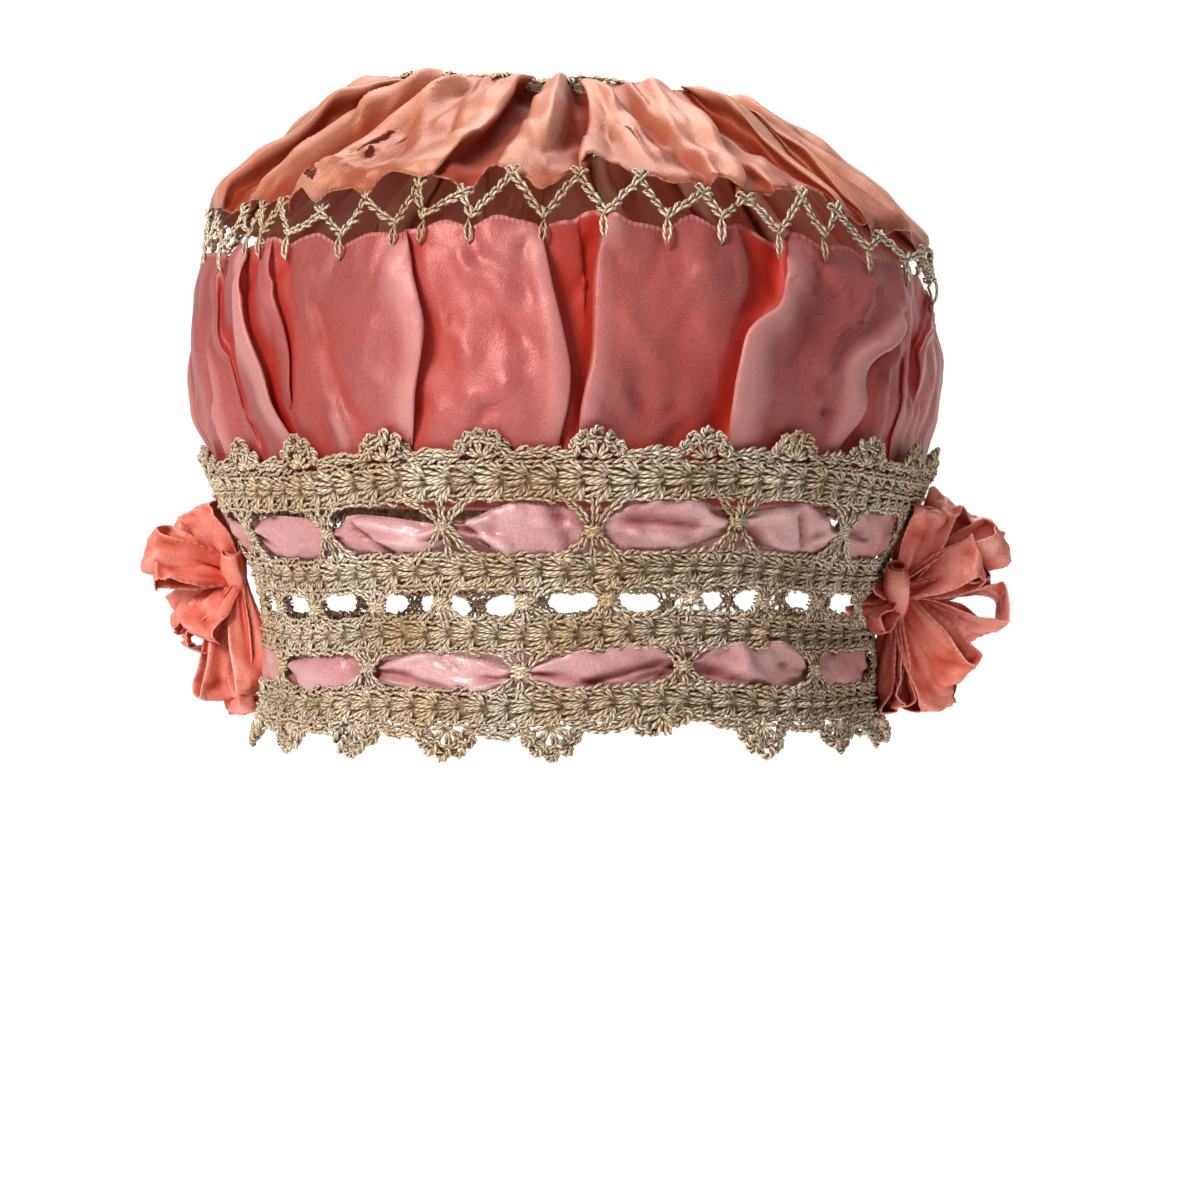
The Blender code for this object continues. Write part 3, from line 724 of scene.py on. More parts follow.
# Pleats: kind, rise, half width, overlap, first and last height, and the (height, turn) rows of its line.
# Over right: the cloth at the left lies over that at the right. Over left is the reverse.
LOWER_PLEATS = [
    ("ridge", 1.8, 4.0, 0, 70, 125, [(75, -84), (100, -82), (130, -86)]),
    ("ridge", 2.0, 2.6, 0, 70, 108, [(75, -66), (88, -63), (102, -61.5), (120, -68), (134, -71)]),
    (
        "over right", 1.3, 1.8, 3.2, 78, 128,
        [(76, -52), (84.5, -53), (92, -54.5), (99, -55), (109, -60), (117, -62), (125, -63.5), (134, -64)],
    ),
    (
        "over right", 2.3, 1.9, 7.6, 72, 134,
        [(76, -41), (80.5, -42.5), (89, -46), (97, -47.2), (107, -49), (118, -52), (129, -53), (134, -53.4)],
    ),
    (
        "over right", 1.5, 1.5, 4.8, 92, 134,
        [(76, -38.5), (86, -42.5), (100, -43), (111, -43), (116, -43.5), (124, -46), (134, -46.5)],
    ),
    ("ridge", 2.0, 3.4, 0, 70, 92, [(76, -33.4), (85.5, -33), (90, -35), (134, -35)]),
    (
        "over right", 2.3, 2.0, 7.4, 72, 134,
        [(76.5, -22.5), (97, -21), (106, -19.5), (113, -19.5), (128, -22), (134, -22.3)],
    ),
    ("over right", 2.1, 1.7, 6.4, 72, 134, [(77.5, -1), (96, 0.4), (106, -0.7), (123, -2.7), (134, -3.7)]),
    ("over right", 0.9, 1.1, 2.4, 112, 134, [(77, 0.4), (100, 2.2), (112, 2.9), (123, 2.6), (134, 1.8)]),
    (
        "over left", 2.4, 1.7, 6.6, 72, 134,
        [(77, 1.9), (92, 3.7), (101, 4.6), (121, 4.7), (129, 5.5), (134, 5.8)],
    ),
    ("over right", 1.2, 1.3, 3.6, 114, 134, [(77, 21), (100, 22.6), (112, 24.6), (122, 26), (134, 25)]),
    (
        "over left", 2.5, 2.1, 7.8, 72, 134,
        [(77, 24), (93, 24), (106, 25.2), (110, 26.2), (114, 29.2), (120, 32.2), (134, 33.5)],
    ),
    (
        "over right", 2.7, 2.2, 7.2, 72, 118,
        [(76.5, 42.5), (84, 45), (90, 46), (98, 44), (104, 45.4), (111, 53.6), (128, 61.5), (134, 62.5)],
    ),
    (
        "ridge", 1.6, 1.8, 0, 74, 100,
        [(76, 53.4), (84.5, 52.6), (96, 50), (103, 51.5), (112, 58), (128, 66), (134, 67)],
    ),
    (
        "over left", 1.2, 1.4, 3.4, 74, 106,
        [(76, 58), (95, 56), (107, 57.6), (114, 62), (128, 71), (134, 72)],
    ),
    (
        "over left", 1.9, 2.2, 4.0, 96, 132,
        [(80, 62.4), (104, 62.4), (112, 64), (119, 70), (126, 80), (134, 84)],
    ),
]


def row_at(rows, x):
    """A straight line through rows of (x, value), held level beyond the ends."""
    if x <= rows[0][0]:
        return rows[0][1]
    for (x0, y0), (x1, y1) in zip(rows, rows[1:]):
        if x <= x1:
            return y0 + (y1 - y0) * (x - x0) / (x1 - x0)
    return rows[-1][1]


def line_at(rows, x, reach=4.0):
    """The same line with its corners eased over reach to each side."""
    return sum(row_at(rows, x + reach * k / 2) for k in (-2, -1, 0, 1, 2)) / 5


def hem_at(rows, turn):
    """The height of a hem at a turn, level at each row of its table."""
    turn = (turn + 180) % 360 - 180
    for (t0, z0), (t1, z1) in zip(rows, rows[1:]):
        if turn <= t1:
            return z0 + (z1 - z0) * ease((turn - t0) / (t1 - t0))
    return rows[-1][1]


def more_pleats(start, end, low, high, seed, slant):
    """Pleats of the same kind for the sides and the back."""
    luck = random.Random(seed)
    made = []
    turn = start
    while turn < end:
        kind = luck.choice(("over right", "over left", "ridge", "over left", "over right"))
        drift = luck.uniform(-slant, slant)
        wave = luck.uniform(-1.5, 1.5)
        line = [(low, turn - drift), ((low + high) / 2, turn + wave), (high, turn + drift)]
        sizes = (luck.uniform(1.4, 2.6), luck.uniform(1.8, 2.8), luck.uniform(3.5, 7.5))
        made.append((kind, *sizes, low, high, line))
        turn += luck.uniform(9, 17)
    return made


def pleat_moves(pleats, away, z, radius, fade):
    """How far a point of the cloth moves along the band and outwards, for its turns from each pleat."""
    shift, rise = 0.0, 0.0
    for (kind, high, half, overlap, low, top, _), degrees in zip(pleats, away):
        distance = math.radians(degrees) * radius
        if abs(distance) > 30:
            continue
        share = ease((z - low) / fade + 0.5) * ease((top - z) / fade + 0.5)
        q = distance / half
        if kind == "ridge":
            rise += high * share * (math.exp(-q * q) - 0.45 * math.exp(-((abs(q) - 1.9) ** 2)))
            continue
        side = 1 if kind == "over right" else -1
        shift -= overlap * share * q * math.exp(-q * q)
        rise -= side * high * share * q * math.exp(-((q / 1.5) ** 2))
        rise += 0.5 * high * share * math.exp(-(((distance + side * 5) / 6) ** 2))
        rise -= 0.35 * high * share * math.exp(-(((distance - side * 6) / 6) ** 2))
    return shift, rise


def ring_faces(rows, columns):
    """The faces of a closed band of points, row by row."""
    faces = []
    for r in range(rows):
        for c in range(columns):
            d = (c + 1) % columns
            faces.append((r * columns + c, r * columns + d, (r + 1) * columns + d, (r + 1) * columns + c))
    return faces


def mark_folds(mesh, depths, across):
    """Tells the satin how deep in a fold each point lies, and its share of the way across the ribbon."""
    for label, values in (("depth", depths), ("across", across)):
        mesh.attributes.new(label, "FLOAT", "POINT").data.foreach_set("value", values)


def cloth_piece(name, mesh, finish, wall, offset=-1.0):
    """The object of one cloth, with its wall."""
    mesh.shade_smooth()
    mesh.materials.append(finish)
    made = piece(name, [mesh])
    solidify = made.modifiers.new("wall", "SOLIDIFY")
    solidify.thickness = wall * MM
    solidify.offset = offset
    return made


def cloth_band(name, pleats, low, high, rows, place, finish, fade=9.0, torn=()):
    """A closed band of cloth. Its columns follow the pleats' lines and crowd together at them."""
    centred = []
    for *sizes, line in pleats:
        back = 360 if line_at(line, (low + high) / 2) > 180 else 0
        centred.append((*sizes, [(z, turn - back) for z, turn in line]))
    pleats = sorted(centred, key=lambda pleat: line_at(pleat[6], (low + high) / 2))
    homes = [line_at(pleat[6], (low + high) / 2) for pleat in pleats]
    turns = {float(turn) for turn in range(-180, 180)}
    for pleat, home in zip(pleats, homes):
        step = 0.32 if pleat[0] != "ridge" else 0.8
        reach = 2.6 if pleat[0] != "ridge" else 2.0
        count = int(reach / step)
        for k in range(-count, count + 1):
            turns.add(round((home + k * step * pleat[2] * 0.55 + 180) % 360 - 180, 3))
    columns = []
    for turn in sorted(turns):
        if not columns or turn - columns[-1] > 0.16:
            columns.append(turn)
    points, depths, across = [], [], []
    around = list(zip(homes, pleats))
    for r in range(rows + 1):
        share = r / rows
        z_mid = low + (high - low) * share
        moved = [line_at(pleat[6], z_mid) - home for home, pleat in around]
        for home_turn in columns:
            above = next((i for i, home in enumerate(homes) if home > home_turn), 0)
            left, right = homes[above - 1], homes[above]
            span = (right - left) % 360 or 360
            part = ((home_turn - left) % 360) / span
            turn = home_turn + moved[above - 1] * (1 - part) + moved[above] * part
            away = [(home_turn - home + 180) % 360 - 180 for home in homes]
            point, depth = place(turn, share, pleats, away, fade)
            points.append(point)
            depths.append(depth)
            across.append(share)
    count = len(columns)
    mesh = bpy.data.meshes.new(name)
    mesh.from_pydata(points, [], ring_faces(rows, count))
    mark_folds(mesh, depths, across)
    layer = mesh.uv_layers.new(name="UVMap")
    height = high - low
    for face in mesh.polygons:
        for corner in face.loop_indices:
            index = mesh.loops[corner].vertex_index
            c = index % count
            turn = columns[c]
            if c == 0 and any(mesh.loops[k].vertex_index % count == count - 1 for k in face.loop_indices):
                turn += 360
            layer.uv[corner].vector = (math.radians(turn) * UV_RADIUS, across[index] * height * MM)
    if torn:
        tear(mesh, torn, height)
    return cloth_piece(name, mesh, finish, SATIN_WALL)


def tear(mesh, torn, height):
    """Opens ragged slits in old cloth. Its faces are cut small there first."""
    work = bmesh.new()
    work.from_mesh(mesh)
    layer = work.loops.layers.uv.active

    def in_slit(face, wide):
        """True inside a slit, or inside one widened by a factor."""
        middle = sum((loop[layer].uv for loop in face.loops), Vector((0, 0))) / len(face.loops)
        turn, share = math.degrees(middle.x / UV_RADIUS), middle.y / (height * MM)
        ragged = 0.55 * noise.noise(Vector((turn * 2.3, share * 70, 0.3)))
        ragged += 0.3 * noise.noise(Vector((turn * 9, share * 260, 4)))
        for t, s, reach, tall, slant in torn:
            x, y = (turn - t) / reach, (share - s) / tall
            bent = x - slant * y + 0.5 * y * y
            if (bent / wide) ** 2 + (y / wide) ** 2 < 1 + (ragged if wide == 1 else 0):
                return True
        return False

    near = [face for face in work.faces if in_slit(face, 3.0)]
    edges = list({edge for face in near for edge in face.edges})
    bmesh.ops.subdivide_edges(work, edges=edges, cuts=4, use_grid_fill=True)
    bmesh.ops.delete(work, geom=[face for face in work.faces if in_slit(face, 1)], context="FACES")
    work.to_mesh(mesh)
    work.free()


def satin(name, face, recess, faded, tint, gloss, selvage, dent=0.016):
    """Silk satin, woven with long floats: broad soft highlights across them, painted shade deep in the folds.

    The face is faded in patches and lightly crumpled, with painted highlight where it stands out. Each
    selvage is a paler rib, partly painted highlight, beside a run of small stitch holes.
    """
    made = bpy.data.materials.new(name)
    made.use_nodes = True
    tree = made.node_tree
    shader = tree.nodes["Principled BSDF"]
    place = add(tree, "ShaderNodeTexCoord", give="Object")
    worn = add(tree, "ShaderNodeTexNoise", {"Vector": place, "Scale": 22.0, "Detail": 3.0}, "Fac")
    worn = add(tree, "ShaderNodeMapRange", {"Value": worn, "From Min": 0.38, "From Max": 0.64})
    mix = {"Factor": worn, "A": linear(face), "B": linear(faded)}
    colour = add(tree, "ShaderNodeMix", mix, data_type="RGBA")
    # Ends of the floats, 0.1 mm apart in the cloth, drawn at 0.6 mm as fine grain.
    grain = add(tree, "ShaderNodeTexNoise", {"Vector": place, "Scale": 1700.0, "Detail": 1.0}, "Fac")
    ends = {"Value": grain, "From Min": 0.3, "From Max": 0.7, "To Min": 0.86, "To Max": 1.14}
    mix = {"Factor": 1.0, "A": colour, "B": add(tree, "ShaderNodeMapRange", ends)}
    colour = add(tree, "ShaderNodeMix", mix, data_type="RGBA", blend_type="MULTIPLY")
    # Painted shade and highlight: deeper in the folds the colour goes towards the recess colour, and on what
    # stands out towards the highlight tint.
    depth = add(tree, "ShaderNodeAttribute", attribute_name="depth", give="Fac")
    mix = {"Factor": depth, "A": colour, "B": linear(recess)}
    colour = add(tree, "ShaderNodeMix", mix, data_type="RGBA")
    crests = {"Value": depth, "From Min": -0.35, "From Max": -1.0, "To Max": 0.3}
    mix = {"Factor": add(tree, "ShaderNodeMapRange", crests), "A": colour, "B": linear(tint)}
    colour = add(tree, "ShaderNodeMix", mix, data_type="RGBA")
    # Painted shade: between two close folds, where the occlusion node finds little open air, the colour is
    # deepened towards the recess colour, for light caught there.
    open_air = add(tree, "ShaderNodeAmbientOcclusion", {"Distance": dent * 0.5}, "AO", samples=4)
    closed = {"Value": open_air, "From Min": 0.3, "From Max": 0.8, "To Min": 0.8, "To Max": 0.0}
    mix = {"Factor": add(tree, "ShaderNodeMapRange", closed), "A": colour, "B": linear(recess)}
    colour = add(tree, "ShaderNodeMix", mix, data_type="RGBA")
    # The selvage: a paler rib, with loops 1.4 mm apart, mixed towards the highlight tint; its paleness is
    # partly the rib's own and partly painted highlight.
    across = add(tree, "ShaderNodeAttribute", attribute_name="across", give="Fac")
    edge = add(tree, "ShaderNodeMath", {0: across, 1: 0.5}, operation="SUBTRACT")
    edge = add(tree, "ShaderNodeMath", {0: edge}, operation="ABSOLUTE")
    along = add(tree, "ShaderNodeSeparateXYZ", {"Vector": add(tree, "ShaderNodeUVMap", uv_map="UVMap")}, "X")
    wave = add(tree, "ShaderNodeMath", {0: along, 1: 2 * math.pi / 0.0014}, operation="MULTIPLY")
    wave = add(tree, "ShaderNodeMath", {0: wave}, operation="SINE")
    strip = {"Value": edge, "From Min": 0.5 - selvage, "From Max": 0.5 - selvage * 0.5, "To Max": 0.16}
    looped = {"Value": wave, "From Min": -0.4, "From Max": 0.6, "To Min": 2.0, "To Max": 0.4}
    rib = {0: add(tree, "ShaderNodeMapRange", strip), 1: add(tree, "ShaderNodeMapRange", looped)}
    rib = add(tree, "ShaderNodeMath", rib, operation="MULTIPLY")
    mix = {"Factor": rib, "A": colour, "B": linear(tint)}
    colour = add(tree, "ShaderNodeMix", mix, data_type="RGBA")
    # Beside it a line of stitch holes at the same spacing.
    gaps = {"Value": wave, "From Min": 0.1, "From Max": 0.7, "To Max": 0.55}
    line = add(tree, "ShaderNodeMath", {0: edge, 1: 0.5 - selvage * 1.15}, operation="SUBTRACT")
    line = add(tree, "ShaderNodeMath", {0: line}, operation="ABSOLUTE")
    beside = {"Value": line, "From Min": selvage * 0.1, "From Max": selvage * 0.3, "To Min": 1.0}
    beside["To Max"] = 0.0
    holes = {0: add(tree, "ShaderNodeMapRange", gaps), 1: add(tree, "ShaderNodeMapRange", beside)}
    holes = add(tree, "ShaderNodeMath", holes, operation="MULTIPLY")
    mix = {"Factor": holes, "A": colour, "B": linear(recess)}
    colour = add(tree, "ShaderNodeMix", mix, data_type="RGBA")
    # Soft dents, and in patches the sharp small creases of crumpled silk.
    dents = add(tree, "ShaderNodeTexNoise", {"Vector": place, "Scale": 1 / dent, "Detail": 3.0}, "Fac")
    creases = {"Vector": place, "Scale": 48.0, "Detail": 3.0, "Roughness": 0.6, "Distortion": 0.4}
    sharp = add(tree, "ShaderNodeTexNoise", creases, "Fac", noise_type="RIDGED_MULTIFRACTAL")
    patch = add(tree, "ShaderNodeTexNoise", {"Vector": place, "Scale": 30.0, "Detail": 1.0}, "Fac")
    patch = add(tree, "ShaderNodeMapRange", {"Value": patch, "From Min": 0.46, "From Max": 0.6})
    sharp = add(tree, "ShaderNodeMath", {0: sharp, 1: patch}, operation="MULTIPLY")
    soft = {"Height": dents, "Strength": 1.0, "Distance": dent * 0.045}
    crumpled = {"Height": sharp, "Strength": 1.0, "Distance": 0.00014}
    crumpled["Normal"] = add(tree, "ShaderNodeBump", soft)
    fine = {"Height": grain, "Strength": 0.6, "Distance": 0.00016}
    fine["Normal"] = add(tree, "ShaderNodeBump", crumpled)
    tree.links.new(colour, shader.inputs["Base Color"])
    tree.links.new(add(tree, "ShaderNodeBump", fine), shader.inputs["Normal"])
    # The folds' hollows stay duller.
    open_face = add(tree, "ShaderNodeMapRange", {"Value": worn, "To Min": gloss, "To Max": gloss + 0.08})
    dull = {"Value": depth, "From Min": 0.1, "To Min": open_face, "To Max": 0.72}
    tree.links.new(add(tree, "ShaderNodeMapRange", dull), shader.inputs["Roughness"])
    grain_way = add(tree, "ShaderNodeTangent", direction_type="UV_MAP", uv_map="UVMap")
    tree.links.new(grain_way, shader.inputs["Tangent"])
    shader.inputs["Anisotropic"].default_value = 0.5
    shader.inputs["Anisotropic Rotation"].default_value = 0.25
    shader.inputs["IOR"].default_value = 1.55
    shader.inputs["Specular IOR Level"].default_value = 0.8
    shader.inputs["Specular Tint"].default_value = linear(tint)
    shader.inputs["Sheen Weight"].default_value = 0.07
    shader.inputs["Sheen Roughness"].default_value = 0.3
    shader.inputs["Sheen Tint"].default_value = linear(tint)
    return made


# Colours: face, recess (painted shade in the folds), faded patches, and the highlight tint, also painted on
# crests and selvages.
coral_satin = satin("coral_silk_satin", "#B65C58", "#B4240C", "#984C46", "#FFC8C4", 0.43, 0.02)
peach_satin = satin("peach_silk_satin", "#A65A42", "#8A280E", "#924C36", "#FFC0A4", 0.41, 0.006)

# Creases: turn and height of both ends, half width and lift. A lift below 0 is a dent.
LOWER_CREASES = [
    (-10, 89.5, -6.5, 95, 1.3, 1.2), (-10, 89.5, -13.5, 92, 1.3, 1.0), (-10, 89.5, -11.5, 84.5, 1.3, -1.3),
    (-10, 89.5, -7.5, 86, 1.2, -1.1), (-15, 128, -8, 112, 2.2, 1.5), (-12, 120, -5, 104, 2.0, -1.3),
    (-17, 110, -12, 100, 1.8, 1.2), (-12.5, 126, -4, 116, 1.7, -0.9), (8, 112, 12, 100, 2.0, 1.1),
    (14.6, 89, 18, 83, 1.5, -1.2), (16.3, 85.9, 12.5, 82, 1.4, 1.0), (9, 93, 11.6, 88, 1.5, -1.1),
    (20, 124, 14, 108, 2.6, 0.9), (38.1, 98.2, 40, 88.1, 1.5, -1.5), (41.5, 112, 37.5, 99, 2.4, 1.8),
    (-38, 120, -33, 92, 3.0, -1.9), (-40, 124, -37, 108, 2.4, 1.6), (-27, 112, -30, 90, 2.6, 1.2),
    (33, 126, 38, 114, 1.8, 1.2), (36, 130, 42, 120, 1.6, -1.0), (50, 130, 44, 112, 2.2, 1.4),
]


def more_creases(seed, low, high, count, pulls, hem):
    """Small creases: under each stitch of the hem, along the foot's gathers, and here and there between."""
    luck = random.Random(seed)
    made = []
    for turn in pulls:
        for side in (-1, 1):
            reach = luck.uniform(6, 15)
            foot = (turn + side * luck.uniform(0.8, 3.0), hem - reach)
            made.append((turn, hem, *foot, 1.3, luck.uniform(-1.0, -0.4)))
            foot = (turn + side * 3.0, hem - reach * 0.8)
            made.append((turn + side * 2.2, hem, *foot, 1.5, luck.uniform(0.4, 0.9)))
    for _ in range(count):
        turn, z = luck.uniform(-180, 180), luck.uniform(low, high)
        slant, length = luck.uniform(-5, 5), luck.uniform(8, 20)
        made.append((turn, z, turn + slant, z - length, luck.uniform(1.2, 2.4), luck.uniform(-1.1, 1.1)))
    return made


def creased(creases, turn, z, radius):
    """How far the creases lift the cloth at a place."""
    lift = 0.0
    for t0, z0, t1, z1, half, height in creases:
        away = (turn - t0 + 180) % 360 - 180
        if abs(away) > 16:
            continue
        x, y = math.radians(away) * radius, z - z0
        run, rise = math.radians(t1 - t0) * radius, z1 - z0
        length = math.hypot(run, rise)
        share, q = (x * run + y * rise) / length**2, abs(x * rise - y * run) / length / half
        if -0.15 < share < 1.15 and q < 3:
            lift += height * math.exp(-(q**1.5)) * ease(share * 4 + 0.6) * ease((1 - share) * 4 + 0.6)
    return lift


LOWER_CREASES += more_creases(45, 82, 132, 150, LOWER_ATTACHED, 133.5)
LOWER_CREASES += more_creases(46, 80, 96, 70, (), 0)


def lower_place(turn, share, pleats, away, fade):
    """Where a point of the lower satin lies, and how deep in its folds."""
    hem = LOWER_TOP_Z + hem_at(LOWER_HEM, turn)
    for attached in LOWER_ATTACHED:
        pull = ((turn - attached + 180) % 360 - 180) / 1.3
        hem -= 0.7 * math.exp(-abs(pull) * 1.6)
    z = LOWER_FOOT_Z + (hem - LOWER_FOOT_Z) * share
    level = LOWER_FOOT_Z + LOWER_RISE * share
    radius = sum(level_at(LOWER_LEVELS, z)) / 2
    shift, rise = pleat_moves(pleats, away, level, radius, fade)
    held = ease((z - 76) / 13) * (1 - 0.35 * ease((share - 0.82) / 0.18))
    where = Vector((math.sin(math.radians(turn)) * 2.4, math.cos(math.radians(turn)) * 2.4, z / 55))
    billow = 3.0 * noise.noise(where * 1.5) + 1.3 * noise.noise(where * 4.1 + Vector((3, 1, 7)))
    billow += 0.9 * noise.noise(Vector((where.x * 7, where.y * 7, z / 60)))
    billow += creased(LOWER_CREASES, turn, level, radius)
    out = (rise + billow) * held if rise + billow > 0 else (rise + billow) * (0.35 + 0.65 * held)
    turn += math.degrees(shift * (0.45 + 0.55 * held) / radius)
    # How deep in the folds: the satin paints shade from it, and a highlight where the cloth stands out.
    depth = min(1.0, max(-1.0, -(rise + 0.3 * billow) / 2.3))
    return spot(LOWER_LEVELS, turn, z, out - 0.2), depth


lower_band = cloth_band(
    "lower_satin_band_cloth",
    LOWER_PLEATS + more_pleats(96, 262, LOWER_FOOT_Z, LOWER_TOP_Z, 41, 5),
    LOWER_FOOT_Z,
    LOWER_TOP_Z,
    48,
    lower_place,
    coral_satin,
)
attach(lower_band, "root")
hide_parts("lower_satin_band")


# Upper satin band: the same ribbon in peach, its foot laced to the chain and its top drawn in to the
# crown. Old silk, so it has split in five places.
UPPER_FOOT_Z = 145.6
UPPER_TOP_Z = 177.0
UPPER_RISE = 31.4
UPPER_LEVELS = [
    # height, half width, half depth
    (145.6, 100.8, 103.6),
    (150.5, 94.8, 97.6),
    (157.0, 87.0, 89.8),
    (164.2, 77.3, 79.8),
    (171.0, 65.6, 67.5),
    (177.0, 53.5, 54.0),
]
UPPER_HEM = [
    # turn, height of the foot above its plain height
    (-180, 0.4), (-165, -1.5), (-150, 1.2), (-135, -0.8), (-120, 0.6), (-105, -1.4), (-90, -1.0), (-76, -3.0),
    (-64, -5.6), (-56, -6.6), (-52, -5.2), (-50, -6.4), (-47, -5.2), (-44.5, -7.0), (-40, -6.2), (-37, -8.8),
    (-33, -5.6), (-29, -6.0), (-25, -1.5), (-20.5, -3.6), (-17, -2.6), (-14, -5.0), (-10.5, 1.8), (-7, -0.4),
    (-3, -5.2), (2, 0.2), (4.6, 5.0), (10.5, 0.6), (15, -1.6), (19.5, -1.6), (22.6, 1.6), (26, -1.8),
    (29.5, -0.4), (35.5, 1.0), (38.5, 1.6), (42, -0.8), (47, -2.0), (53, -4.6), (60, -2.4), (70, -4.2),
    (82, -1.0), (96, 1.0), (110, -1.2), (125, 1.2), (140, -1.0), (155, 1.4), (168, -1.0), (180, 0.4),
]
UPPER_ATTACHED = [-56, -50.5, -45.5, -37, -29, -20.5, -14, -7, 2, 10.5, 19.5, 26, 35.5, 42, 53, 70]
UPPER_PLEATS = [
    ("ridge", 3.0, 5.0, 0, 145, 178, [(145, -98), (160, -94), (177, -86)]),
    ("over left", 2.2, 2.6, 6.0, 150, 178, [(145, -84), (160, -78), (177, -66)]),
    ("over right", 3.8, 2.4, 7.0, 145, 174, [(145, -64), (152, -60.5), (160, -57), (168, -52), (177, -45)]),
    ("valley", 6.2, 5.8, 0, 145, 176, [(145, -47), (150, -43), (158.6, -42.5), (166.5, -37), (177, -31)]),
    (
        "over right", 2.9, 2.2, 7.4, 145, 178,
        [(145, -19), (150.6, -16.4), (160, -13.5), (172, -11.5), (177, -10.6)],
    ),
    ("over left", 2.6, 2.4, 4.4, 145, 178, [(145, -10.2), (154, -8.6), (164, -6.8), (177, -5.4)]),
    ("ridge", 4.2, 3.6, 0, 158, 180, [(145, -3), (160, -2.5), (177, -1.5)]),
    (
        "over left", 2.5, 1.7, 6.8, 145, 178,
        [(145, 1.6), (149, 2.4), (153.6, 3.8), (163, 6.0), (172, 6.0), (177, 4.0)],
    ),
    ("ridge", 1.7, 2.6, 0, 150, 178, [(145, 13), (155, 11), (165, 9.5), (177, 8)]),
    ("valley", 1.9, 3.0, 0, 145, 172, [(145, 21), (155, 18.5), (165, 15), (177, 12.5)]),
    (
        "over right", 2.8, 2.2, 7.2, 145, 178,
        [(145, 24.6), (150, 26.4), (155, 27.5), (162, 27.8), (170, 27.5), (177, 24)],
    ),
    ("over left", 1.4, 1.6, 4.4, 145, 154, [(145, 31.5), (150, 30.6), (156, 31), (177, 29)]),
    (
        "over left", 2.6, 2.1, 6.8, 145, 178,
        [(145, 43.5), (150, 42), (155, 42), (161.5, 40.5), (169, 38.5), (177, 34)],
    ),
    ("over left", 2.0, 2.0, 5.6, 145, 172, [(145, 50), (152, 49), (160, 48.5), (168, 47), (177, 43)]),
    ("ridge", 2.6, 4.2, 0, 145, 178, [(145, 63), (160, 60), (177, 54)]),
    ("over right", 2.2, 2.4, 6.0, 145, 178, [(145, 78), (160, 76), (177, 70)]),
]
TEARS = [
    # turn, share of the way up, half width in degrees, half height as a share, slant
    (-34.6, 0.115, 1.5, 0.05, -0.5),
    (-31.0, 0.33, 0.7, 0.085, 0.9),
    (-29.6, 0.24, 0.5, 0.04, -1.2),
    (10.6, 0.34, 0.35, 0.07, -0.8),
    (-27.4, 0.37, 0.35, 0.03, 0.5),
]
UPPER_CREASES = [
    (-55, 168, -48, 154, 2.0, 1.6), (-49, 172, -43, 160, 1.8, -1.6), (-44, 168, -39, 156, 1.6, 1.6),
    (-30, 172, -24, 152, 2.2, 1.8), (-25, 174, -19, 158, 1.8, -1.6), (-36, 152, -27, 149, 1.4, 1.2),
    (-22, 170, -16, 150, 1.8, 1.4), (-9, 168, -3, 152, 1.8, 1.6), (0, 172, 5, 156, 1.6, -1.4),
    (12, 172, 15, 154, 2.0, 1.5), (22, 173, 18, 158, 1.8, 1.4), (31, 172, 35, 154, 1.9, 1.6),
    (37, 170, 40, 152, 1.6, -1.4), (46, 170, 52, 152, 2.0, 1.5), (56, 168, 61, 152, 1.8, -1.3),
]
# Puckers run out all round between the two largest tears.
for k in range(12):
    a = math.radians(30 * k)
    start = (-32.5 + 2 * math.sin(a), 152.5 + 1.5 * math.cos(a))
    end = (-32.5 + 4.6 * math.sin(a), 152.5 + 4.5 * math.cos(a))
    UPPER_CREASES.append((*start, *end, 0.8, 0.9 - k % 3))
UPPER_CREASES += more_creases(47, 152, 176, 110, UPPER_ATTACHED, 147.0)
# Small gathers run down from the crown centre.
for k in range(64):
    turn = k * 5.62
    end = (turn + 1.5 * math.sin(k * 2.3), 166 - 5 * math.sin(k * 1.7))
    UPPER_CREASES.append((turn, 178, *end, 1.5, 1.5))


